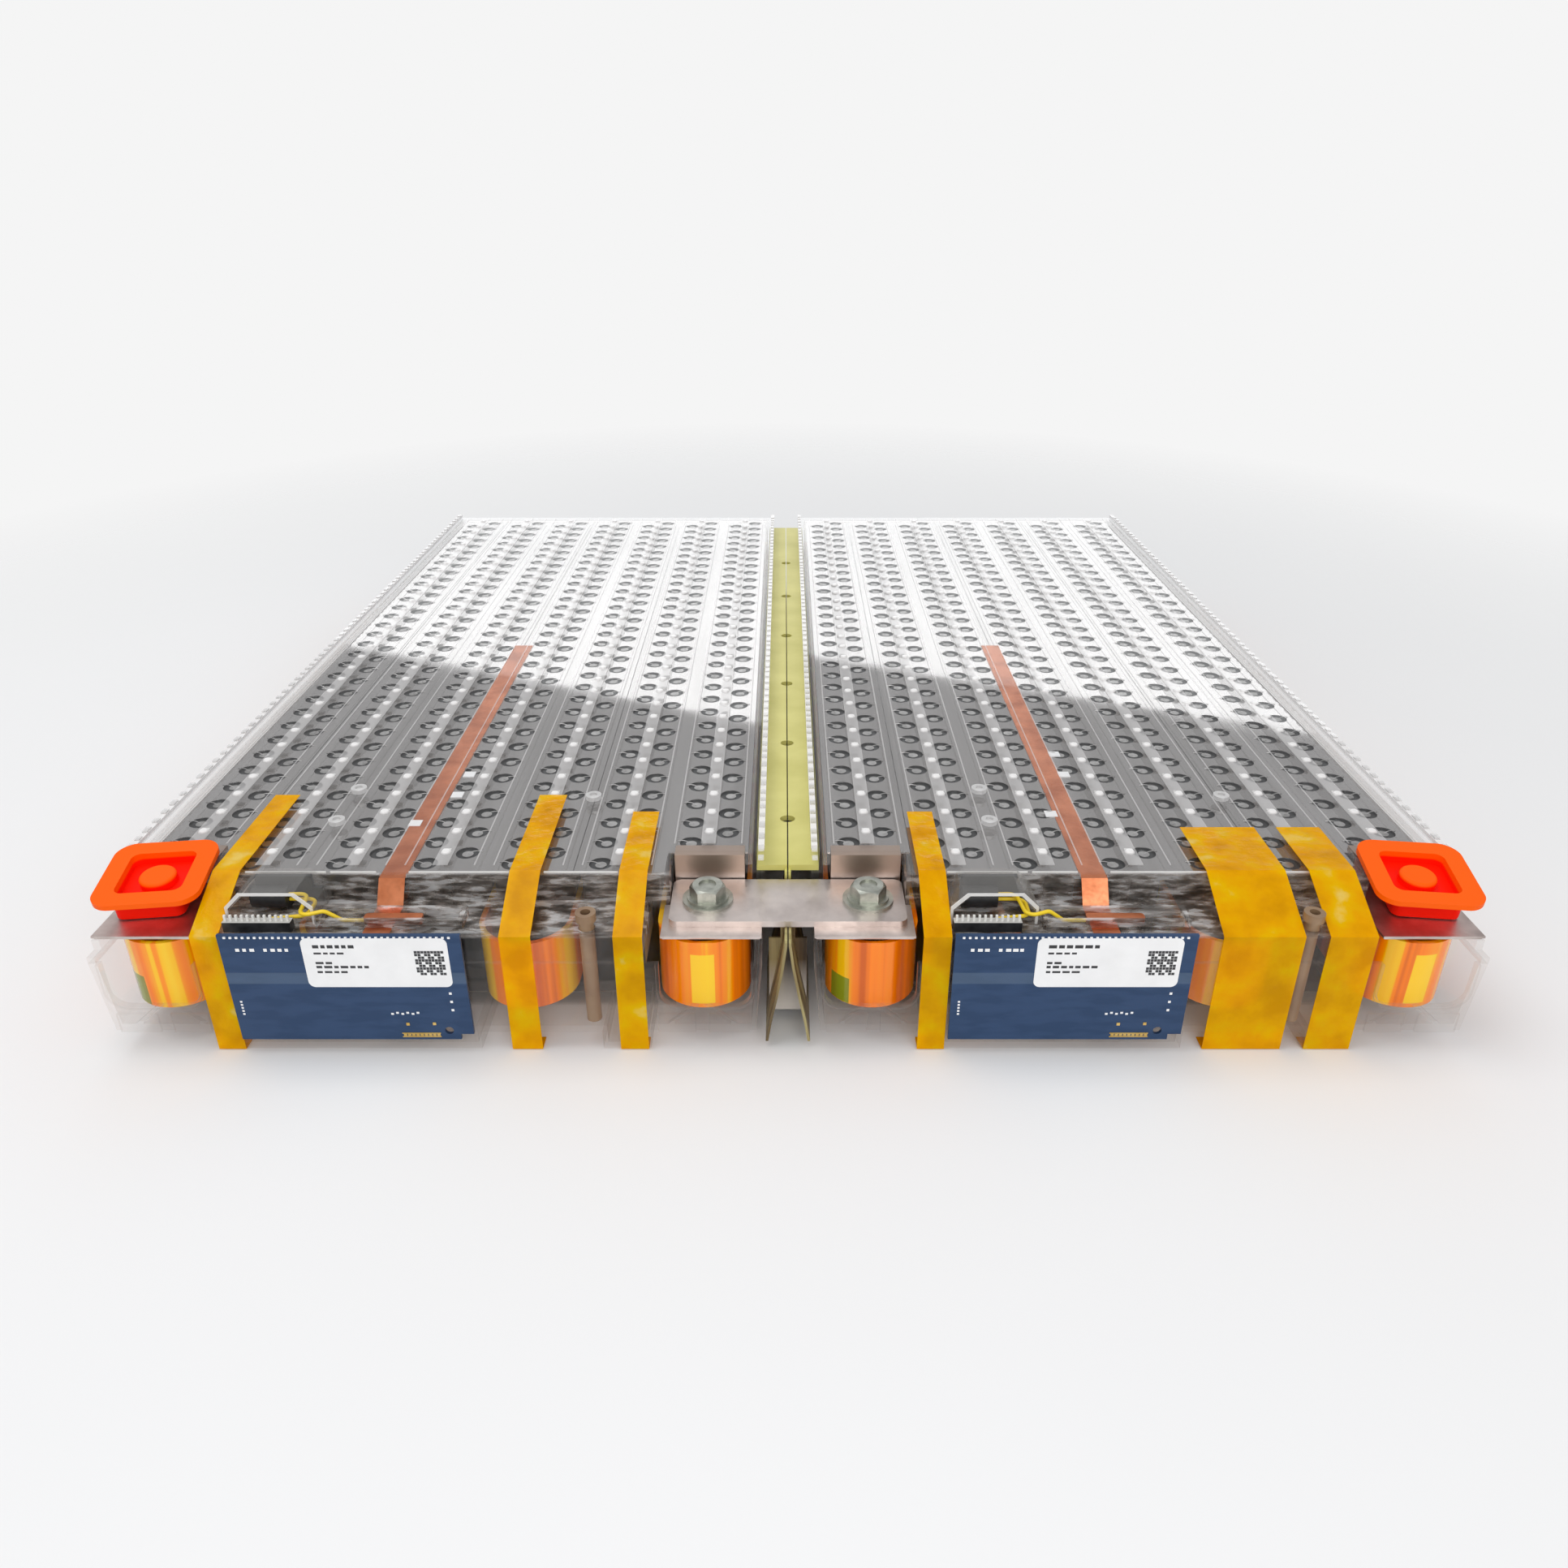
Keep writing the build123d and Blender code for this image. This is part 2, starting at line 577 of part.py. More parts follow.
def collector_outline(left, right):
    """The plan of one collector plate between two x lines, stepped round a front corner pocket."""
    inset = WALL + HOLDER_CLEARANCE + COLLECTOR_GAP
    front = DECK_FRONT + inset
    pocket = POCKET_BACK + inset
    back = MODULE_LENGTH - inset
    jog = POCKET_INNER - inset
    if right <= -jog + CELL_RADIUS:
        return ((left, pocket), (right, pocket), (right, back), (left, back))
    if left < -jog:
        return ((left, pocket), (-jog, pocket), (-jog, front), (right, front), (right, back), (left, back))
    if right > jog:
        return ((left, front), (jog, front), (jog, pocket), (right, pocket), (right, back), (left, back))
    return ((left, front), (right, front), (right, back), (left, back))


def make_collectors(row_counts, base):
    """A set of collector plates, each spanning some double rows, with a window over each cell."""
    plates = []
    edge = CAVITY_HALF - LEDGE_WIDTH - COLLECTOR_GAP
    start = -DOUBLE_ROWS / 2 * DOUBLE_ROW_PITCH
    for count in row_counts:
        end = start + count * DOUBLE_ROW_PITCH
        left = max(start + COLLECTOR_GAP / 2, -edge)
        right = min(end - COLLECTOR_GAP / 2, edge)
        inside = [(x, y) for x, y in CENTRES if left < x < right]
        plates.append(perforated(collector_outline(left, right), inside, WINDOW_RADIUS, base, COLLECTOR_THICKNESS))
        start = end
    return plates


# ---- Coolant ribbon ----------------------------------------------------------------------------
def ribbon_bend(x0, x1, y, facing_front):
    """A half-round bend that joins two neighbouring runs."""
    middle = (x0 + x1) / 2
    outer = (x1 - x0 + RIBBON_THICKNESS) / 2
    inner = outer - RIBBON_THICKNESS
    ring = upright(outer, middle, y, RIBBON_BOTTOM, RIBBON_TOP)
    ring -= upright(inner, middle, y, RIBBON_BOTTOM - 1, RIBBON_TOP + 1)
    far = y + outer + 1 if facing_front else y - outer - 1
    y0, y1 = sorted((y, far))
    return ring - block(middle - outer - 1, middle + outer + 1, y0, y1, RIBBON_BOTTOM - 1, RIBBON_TOP + 1)


def make_ribbon():
    """The wrapped coolant ribbon: eight straight runs joined into one serpentine."""
    lines = ribbon_lines()
    half = RIBBON_THICKNESS / 2
    reach = (DOUBLE_ROW_PITCH + RIBBON_THICKNESS) / 2
    front = RIBBON_FRONT + reach
    back = MODULE_LENGTH - RIBBON_BACK_MARGIN - WALL
    bend_back = back - reach
    pieces = []
    for index, x in enumerate(lines):
        end = back if index in (0, len(lines) - 1) else bend_back
        pieces.append(block(x - half, x + half, front, end, RIBBON_BOTTOM, RIBBON_TOP))
    for index in range(len(lines) - 1):
        at_front = index % 2 == 0
        pieces.append(ribbon_bend(lines[index], lines[index + 1], front if at_front else bend_back, at_front))
    return pieces[0].fuse(*pieces[1:])


# ---- Terminals, link and caps ------------------------------------------------------------------
def make_terminal(side):
    """A bent tab: a wide bolting face, a riser up the pocket wall and a lap on the collector."""
    x = side * TERMINAL_X
    half = TAB_WIDTH / 2
    rear = POCKET_BACK - CELL_CLEARANCE
    lap_base = HOLDER_TOP + COLLECTOR_THICKNESS
    lap_end = POCKET_BACK + WALL + LAP_LENGTH
    profile = (
        (TAB_WING_BACK - 1, TAB_BOTTOM), (rear, TAB_BOTTOM), (rear, lap_base), (lap_end, lap_base),
        (lap_end, lap_base + LAP_THICKNESS), (rear - TAB_THICKNESS, lap_base + LAP_THICKNESS),
        (rear - TAB_THICKNESS, TAB_TOP), (TAB_WING_BACK - 1, TAB_TOP),
    )
    tab = side_profile(profile, x - half, x + half)
    middle = (TAB_BOTTOM + TAB_TOP) / 2
    x0, x1 = sorted((side * TAB_WING_INNER, side * TAB_WING_OUTER))
    tab += block(x0, x1, TAB_FRONT, TAB_WING_BACK, middle, TAB_TOP)
    tab += block(x0 + TAB_STEP, x1 - TAB_STEP, TAB_FRONT + TAB_STEP, TAB_WING_BACK, TAB_BOTTOM, middle)
    return tab - upright(BOLT_RADIUS + BOLT_CLEARANCE, x, TERMINAL_Y, TAB_BOTTOM - 1, TAB_TOP + 1)


def make_terminal_nuts():
    """The four captive nuts, one under each terminal tab of the pair."""
    nuts = []
    for centre in (-MODULE_PITCH / 2, MODULE_PITCH / 2):
        for side in (-1, 1):
            x = centre + side * TERMINAL_X
            nut = hexagon(NUT_FLATS, x, TERMINAL_Y, TAB_BOTTOM - NUT_HEIGHT, TAB_BOTTOM)
            nuts.append(nut - upright(BOLT_RADIUS + BOLT_CLEARANCE / 4, x, TERMINAL_Y, 30, TAB_BOTTOM + 1))
    return Compound(children=nuts)


def link_bolt_places():
    """The x of the two bolts through the link, on the facing terminals of the two modules."""
    reach = MODULE_PITCH / 2 - TERMINAL_X
    return (-reach, reach)


def make_link():
    """The plated link plate that joins the two modules."""
    left, right = link_bolt_places()
    half = LINK_WIDTH / 2
    front = TERMINAL_Y - half
    back = min(TERMINAL_Y + half, POCKET_BACK - TAB_THICKNESS - 2 * CELL_CLEARANCE)
    link = rounded_block(left - LINK_OVERHANG, right + LINK_OVERHANG, front, back, TAB_TOP, LINK_TOP, LINK_CORNER)
    for x in (left, right):
        link -= upright(BOLT_RADIUS + BOLT_CLEARANCE, x, TERMINAL_Y, TAB_TOP - 1, LINK_TOP + 1)
    return link


def make_link_bolt(x):
    """A hexagon bolt with a washer face, standing on the link."""
    shank = upright(BOLT_RADIUS, x, TERMINAL_Y, TAB_BOTTOM - NUT_HEIGHT, LINK_TOP)
    washer = upright(WASHER_RADIUS, x, TERMINAL_Y, LINK_TOP, LINK_TOP + WASHER_HEIGHT)
    seat = LINK_TOP + WASHER_HEIGHT + COLLAR_HEIGHT
    washer += upright(COLLAR_RADIUS, x, TERMINAL_Y, LINK_TOP, seat)
    head_top = seat + HEAD_HEIGHT
    head = hexagon(HEAD_FLATS, x, TERMINAL_Y, seat, head_top)
    head &= Pos(x, TERMINAL_Y, head_top - HEAD_FLATS * 0.62) * Sphere(HEAD_FLATS * 0.78)
    recess = upright(HEAD_FLATS * 0.28, x, TERMINAL_Y, head_top - 1, head_top + 1)
    return shank + washer + head - recess


def make_cap(side):
    """The soft cap over a free terminal, tipped up on the deck edge: skirt, wide rim, recess and boss."""
    rim = CAP_WIDTH / 2
    left = side * CAP_SKIRT_OUTWARD - CAP_SKIRT_WIDTH / 2
    right = left + CAP_SKIRT_WIDTH
    top = CAP_FLANGE_THICKNESS
    floor = top - CAP_RECESS
    under = floor - CAP_FLOOR
    low = -CAP_SKIRT_DROP
    wall = CAP_WALL
    cap = rounded_block(left, right, CAP_SKIRT_FRONT, CAP_SKIRT_REAR, low, 1, 4)
    cap += rounded_block(-rim, rim, -rim, rim, 0, top, CAP_CORNER)
    half = CAP_RECESS_HALF
    cap += rounded_block(-half - wall, half + wall, -half - wall, half + wall, under, 1, CAP_RECESS_CORNER)
    cap -= rounded_block(left + wall, right - wall, CAP_SKIRT_FRONT + wall, CAP_SKIRT_REAR - wall, low - 1, under, 3)
    cap -= rounded_block(-half, half, -half, half, floor, top + 1, CAP_RECESS_CORNER)
    boss = upright(CAP_BOSS_RADIUS, 0, 0, under, floor + CAP_BOSS_RISE)
    boss = fillet(boss.edges().group_by(Axis.Z)[-1], 1.6)
    place = Pos(side * (TERMINAL_X + CAP_OFFSET), CAP_Y, CAP_RIM_HEIGHT)
    return place * Rot(0, 0, -side * CAP_TURN) * Rot(CAP_TILT, 0, 0) * (cap + boss)


# ---- Control board and front end ---------------------------------------------------------------
def make_board():
    """The control board on the front wall."""
    middle_x = BOARD_LEFT + BOARD_WIDTH / 2
    middle_z = BOARD_BOTTOM + BOARD_HEIGHT / 2
    board = Pos(middle_x, (BOARD_FRONT + BOARD_BACK) / 2, middle_z) * Box(BOARD_WIDTH, BOARD_THICKNESS, BOARD_HEIGHT)
    notch = block(BOARD_LEFT + BOARD_WIDTH - 6, BOARD_LEFT + BOARD_WIDTH + 1, BOARD_FRONT - 1, BOARD_BACK + 1,
                  BOARD_BOTTOM - 1, BOARD_BOTTOM + 3)
    hole = Pos(BOARD_LEFT + BOARD_WIDTH - 11, BOARD_FRONT, BOARD_BOTTOM + 5) * Rot(90, 0, 0) * Cylinder(2, 10)
    return board - notch - hole


def make_label():
    """The paper label on the board."""
    right = BOARD_LEFT + BOARD_WIDTH - LABEL_RIGHT_MARGIN
    top = BOARD_TOP - LABEL_TOP_MARGIN
    outline = RectangleRounded(LABEL_WIDTH, LABEL_HEIGHT, LABEL_CORNER)
    plane = Plane(origin=(right - LABEL_WIDTH / 2, BOARD_FRONT, top - LABEL_HEIGHT / 2), x_dir=(1, 0, 0), z_dir=(0, -1, 0))
    return extrude(plane * outline, LABEL_THICKNESS)


def make_header():
    """The pin header that stands on the bay roof behind the board."""
    length = HEADER_PINS * HEADER_PIN_PITCH
    left = HEADER_X - length / 2
    front = HEADER_FRONT
    top = BAY_ROOF + HEADER_HEIGHT
    header = block(left, left + length, front, front + HEADER_DEPTH, BAY_ROOF, top)
    for pin in range(HEADER_PINS):
        x = left + (pin + 0.5) * HEADER_PIN_PITCH
        header += block(x - 0.5, x + 0.5, front + 1, front + 2, top - 0.5, top + 3)
    return header


def hood_outline(inset, base):
    """The front view of the wire hood: upright sides and a chamfered top."""
    left = HOOD_LEFT + inset
    right = HOOD_RIGHT - inset
    top = HOOD_TOP - inset
    cut = HOOD_CHAMFER
    return ((left, base), (left, top - cut), (left + cut, top), (right - cut, top), (right, top - cut), (right, base))


def make_hood():
    """The angular clear hood over the wires, open at the front."""
    hood = front_profile(hood_outline(0, BAY_ROOF), HOOD_FRONT, DECK_FRONT - CELL_CLEARANCE)
    return hood - front_profile(hood_outline(HOOD_WALL, BAY_ROOF - 1), HOOD_FRONT - 1, DECK_FRONT - HOOD_WALL)


def make_sleeve():
    """The dark sleeve round the wires under the hood."""
    middle = (SLEEVE_LEFT + SLEEVE_RIGHT) / 2
    tube = Cylinder(SLEEVE_RADIUS, SLEEVE_RIGHT - SLEEVE_LEFT)
    return Pos(middle, SLEEVE_Y, BAY_ROOF + SLEEVE_RADIUS) * Rot(0, 90, 0) * tube


def make_wire(points, radii):
    """One round wire along straight runs joined by tangent arcs."""
    path = FilletPolyline(*points, radius=radii)
    start = Plane(origin=path @ 0, z_dir=path % 0)
    wire = sweep(start * Circle(WIRE_RADIUS), path=path)
    expected = 3.14159265 * WIRE_RADIUS ** 2 * path.length
    print("wire", [round(r, 1) for r in radii], round(wire.volume / expected, 4))
    return wire


def make_wires():
    """Two wires from the sleeve's end: one turns back to the pin header, one goes to the connector."""
    low = BAY_ROOF + SLEEVE_RADIUS - WIRE_SPACING / 2
    high = low + WIRE_SPACING
    lane = HOOD_RIGHT - HOOD_WALL - WIRE_RADIUS - 1
    back_run = ((SLEEVE_RIGHT, SLEEVE_Y, low), (lane, SLEEVE_Y, low), (lane, HOOD_FRONT + 1, low),
                (HEADER_X + 4, HEADER_FRONT + HEADER_DEPTH + WIRE_RADIUS, low))
    over = BAY_ROOF + LIP_BOX_HEIGHT + WIRE_RADIUS + 0.3
    lie = BAY_ROOF + WIRE_RADIUS + 0.1
    end = CONNECTOR_X - CONNECTOR_WIDTH / 2
    middle = (LIP_BOX_FRONT + LIP_BOX_BACK) / 2
    front_run = ((SLEEVE_RIGHT, SLEEVE_Y, high), (lane - 4, SLEEVE_Y, high), (lane - 2, HOOD_FRONT - 4, over),
                 (LIP_BOX_LEFT + 3, middle - 1, over + 0.4), (LIP_BOX_LEFT + 10, middle, lie), (end, middle, lie))
    return Compound(children=[
        make_wire(back_run, (4.5, 4.0)),
        make_wire(front_run, (4.0, 4.0, 4.0, 3.0)),
    ])


def make_connector():
    """The flex connector on the bay roof."""
    half = CONNECTOR_WIDTH / 2
    base = BAY_ROOF + FLEX_THICKNESS
    front = (LIP_BOX_FRONT + LIP_BOX_BACK - CONNECTOR_DEPTH) / 2
    return rounded_block(CONNECTOR_X - half, CONNECTOR_X + half, front, front + CONNECTOR_DEPTH, base,
                         base + CONNECTOR_HEIGHT, 1.5)


def make_flex():
    """The copper sense flex: along the collector seam, down the bay step and to the board."""
    top = HOLDER_TOP + COLLECTOR_THICKNESS
    thick = FLEX_THICKNESS
    rear = DECK_FRONT + FLEX_LENGTH
    edge = DECK_FRONT - 1
    foot = BAY_FRONT + CELL_CLEARANCE
    profile = (
        (foot, BAY_ROOF), (edge - 8, BAY_ROOF), (edge, top), (rear, top), (rear, top + thick),
        (edge - 0.1, top + thick), (edge - 8.1, BAY_ROOF + thick), (foot, BAY_ROOF + thick),
    )
    half = FLEX_WIDTH / 2
    return side_profile(profile, FLEX_X - half, FLEX_X + half)


def make_fitting():
    """The upright coolant fitting beside the second bend."""
    base = MIDDLE_BASE + BAY_FLOOR
    tube = upright(FITTING_RADIUS, FITTING_X, FITTING_Y, base, FITTING_TOP)
    collar = upright(FITTING_RADIUS + FITTING_COLLAR, FITTING_X, FITTING_Y, FITTING_TOP - 4, FITTING_TOP)
    return tube + collar - upright(FITTING_BORE, FITTING_X, FITTING_Y, base + 4, FITTING_TOP + 1)


def make_tape(left, right, deck_end):
    """A tape strip from the deck, down the bay step, down the front wall and under its edge."""
    deck = DECK_TOP + RIB_HEIGHT + BEAD_HEIGHT
    thick = TAPE_THICKNESS
    face = BAY_FRONT
    under = TRAY_BASE
    profile = (
        (deck_end, deck), (DECK_FRONT - 1, deck), (face, BAY_ROOF + 0.2), (face, under),
        (face + TAPE_WRAP, under), (face + TAPE_WRAP, under - thick), (face - thick, under - thick),
        (face - thick, BAY_ROOF + 0.4), (DECK_FRONT - 1.3, deck + thick), (deck_end, deck + thick),
    )
    return side_profile(profile, left, right)


def make_rivets():
    """The round clips on the deck."""
    rivets = []
    for x, y in RIVET_PLACES:
        rivet = upright(RIVET_RADIUS, x, y, DECK_TOP, DECK_TOP + RIVET_HEIGHT)
        rivets.append(rivet - upright(RIVET_RADIUS / 2, x, y, DECK_TOP + 1, DECK_TOP + RIVET_HEIGHT + 1))
    return Compound(children=rivets)


def make_side_strip(side):
    """The insulating strip on the inner flange, with half holes along the seam between modules."""
    near = BODY_HALF + CELL_CLEARANCE
    seam = (MODULE_PITCH - STRIP_SEAM) / 2
    x0, x1 = sorted((side * near, side * seam))
    start = POCKET_BACK + WALL
    top = FLANGE_TOP + STRIP_THICKNESS
    strip = block(x0, x1, start, MODULE_LENGTH - 2, FLANGE_TOP, top)
    holes = int((MODULE_LENGTH - start) / STRIP_HOLE_PITCH)
    for index in range(holes):
        y = start + (index + 0.5) * STRIP_HOLE_PITCH
        strip -= upright(STRIP_HOLE_RADIUS, side * seam, y, FLANGE_TOP - 1, top + 1)
    return strip + strip_curtain(side, seam)


def strip_curtain(side, seam):
    """The front end of the strip, curved down and outwards below the link to the foot of the module."""
    wall = MODULE_WIDTH / 2
    reach = seam - wall
    heights = (FLANGE_TOP + 1, TAB_BOTTOM, 44.0, 28.0, 14.0, CURTAIN_BASE)
    shares = (1.0, 1.0, 0.86, 0.6, 0.34, 0.18)
    outer = [(wall + reach * share, z) for share, z in zip(shares, heights)]
    inner = [(x - CURTAIN_THICKNESS, z) for x, z in reversed(outer)]
    sheet = front_profile(mirrored(outer + inner, side), CURTAIN_FRONT, CURTAIN_BACK)
    x0, x1 = sorted((side * (wall - 5), side * (seam + 5)))
    return sheet - block(x0, x1, CURTAIN_FRONT - 1, POCKET_BACK - 1, TAB_TOP - CELL_CLEARANCE, FLANGE_TOP + 5)


# ---- Assembly ----------------------------------------------------------------------------------
TOP_ROWS = (1, 2, 2, 2)
BOTTOM_ROWS = (2, 2, 3)
TAPES = {
    "left": ((-101.5, -89.0, 110.0), (34.0, 48.0, 110.0), (84.0, 97.0, 92.0)),
    "right": ((-101.5, -89.0, 92.0), (30.0, 66.0, 76.0), (76.8, 97.8, 76.0)),
}


def module_parts():
    """The pieces that both modules share, by node name."""
    parts = {
        "bottom_cover": make_bottom_cover(),
        "lower_shell": make_lower_shell(),
        "upper_shell": make_upper_shell(),
        "top_cover": make_top_cover(),
        "lower_cell_holder": make_holder(LOWER_HOLDER_BASE),
        "upper_cell_holder": make_holder(HOLDER_TOP - HOLDER_THICKNESS),
        "cells": make_cells(),
        "coolant_ribbon": make_ribbon(),
        "coolant_fitting": make_fitting(),
        "negative_terminal": make_terminal(-1),
        "positive_terminal": make_terminal(1),
        "control_board": make_board(),
        "board_label": make_label(),
        "pin_header": make_header(),
        "wire_hood": make_hood(),
        "wire_sleeve": make_sleeve(),
        "sensor_wires": make_wires(),
        "flex_connector": make_connector(),
        "sense_flex": make_flex(),
        "deck_clips": make_rivets(),
    }
    for number, plate in enumerate(make_collectors(TOP_ROWS, HOLDER_TOP), 1):
        parts[f"upper_collector_{number}"] = plate
    base = LOWER_HOLDER_BASE - COLLECTOR_THICKNESS
    parts["lower_collectors"] = Compound(children=make_collectors(BOTTOM_ROWS, base))
    return parts


def save(name, shape, x, y):
    """Writes one node at its place in the pair."""
    export_step(Pos(x, y, 0) * shape, f"parts/{name}.step")


def main():
    front = -(MODULE_LENGTH + BOARD_FRONT - LABEL_THICKNESS) / 2
    shared = module_parts()
    for name, inner_side in (("left", 1), ("right", -1)):
        x = -inner_side * MODULE_PITCH / 2
        own = dict(shared)
        own["side_strip"] = make_side_strip(inner_side)
        own["terminal_cap"] = make_cap(-inner_side)
        own["front_tapes"] = Compound(children=[make_tape(*tape) for tape in TAPES[name]])
        for piece, shape in own.items():
            save(f"{name}_{piece}", shape, x, front)
    save("link_plate", make_link(), 0, front)
    save("link_bolts", Compound(children=[make_link_bolt(x) for x in link_bolt_places()]), 0, front)
    save("terminal_nuts", make_terminal_nuts(), 0, front)


main()
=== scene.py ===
import itertools
import math
import random

import bmesh
import bpy
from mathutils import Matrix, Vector


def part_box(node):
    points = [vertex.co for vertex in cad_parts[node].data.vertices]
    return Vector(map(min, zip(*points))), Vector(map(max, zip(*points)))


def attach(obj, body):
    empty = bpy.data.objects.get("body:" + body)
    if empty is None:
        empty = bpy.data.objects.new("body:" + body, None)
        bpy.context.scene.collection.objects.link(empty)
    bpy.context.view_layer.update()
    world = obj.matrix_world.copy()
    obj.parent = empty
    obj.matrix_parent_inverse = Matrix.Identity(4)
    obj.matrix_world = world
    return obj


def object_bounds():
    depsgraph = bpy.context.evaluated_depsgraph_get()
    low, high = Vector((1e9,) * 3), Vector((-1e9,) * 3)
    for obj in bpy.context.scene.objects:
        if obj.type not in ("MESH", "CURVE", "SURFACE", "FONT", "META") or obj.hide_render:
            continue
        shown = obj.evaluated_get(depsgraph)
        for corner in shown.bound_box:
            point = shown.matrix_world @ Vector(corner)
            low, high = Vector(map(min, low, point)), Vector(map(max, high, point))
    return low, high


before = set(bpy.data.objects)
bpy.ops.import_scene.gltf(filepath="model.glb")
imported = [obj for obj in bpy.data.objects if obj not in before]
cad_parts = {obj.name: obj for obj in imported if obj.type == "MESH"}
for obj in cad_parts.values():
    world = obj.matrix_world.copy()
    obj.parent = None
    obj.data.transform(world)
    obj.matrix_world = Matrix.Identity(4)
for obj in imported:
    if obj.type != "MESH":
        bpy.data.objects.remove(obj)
cad_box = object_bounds()
random.seed(7)

# ---- Sizes in metres, as in the CAD model ------------------------------------------------------
MM = 0.001
SIDES = ("left", "right")
CELL_RADIUS = 9.2 * MM
CELL_PITCH = 19.8 * MM
CELLS_PER_ROW = 32
DOUBLE_ROWS = 7
DOUBLE_ROW_PITCH = 41.0 * MM
ROW_SEPARATION = 17.2 * MM
DECK_FRONT = 37.0 * MM
FIRST_CELL = 12.3 * MM
PANEL_HEIGHT = 1.2
PANEL_STRENGTH = 2.35
PANEL_FADE = 0.85

FRONT = cad_box[0][1]
CAMERA_DISTANCE = 0.421
CAMERA_HEIGHT = 0.354
CAMERA_OFFSET = -0.0018
CAMERA_PITCH = math.radians(27.0)
FOCAL_SHARE = 0.7443


def module_centre(side):
    """The x of one module's centre line."""
    low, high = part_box(f"{side}_cells")
    return (low.x + high.x) / 2


def cell_centres(side):
    """The axes of one module's cells, laid out as in the CAD model."""
    low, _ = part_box(f"{side}_cells")
    first = low.y + CELL_RADIUS
    centre = module_centre(side)
    places = []
    for double_row in range(DOUBLE_ROWS):
        middle = centre + (double_row - (DOUBLE_ROWS - 1) / 2) * DOUBLE_ROW_PITCH
        short = 1 if double_row in (0, DOUBLE_ROWS - 1) else 0
        for hand in (-1, 1):
            x = middle + hand * ROW_SEPARATION / 2
            stagger = CELL_PITCH / 4 * (1 + hand)
            for index in range(short, CELLS_PER_ROW):
                places.append((x, first + stagger + index * CELL_PITCH))
    return places


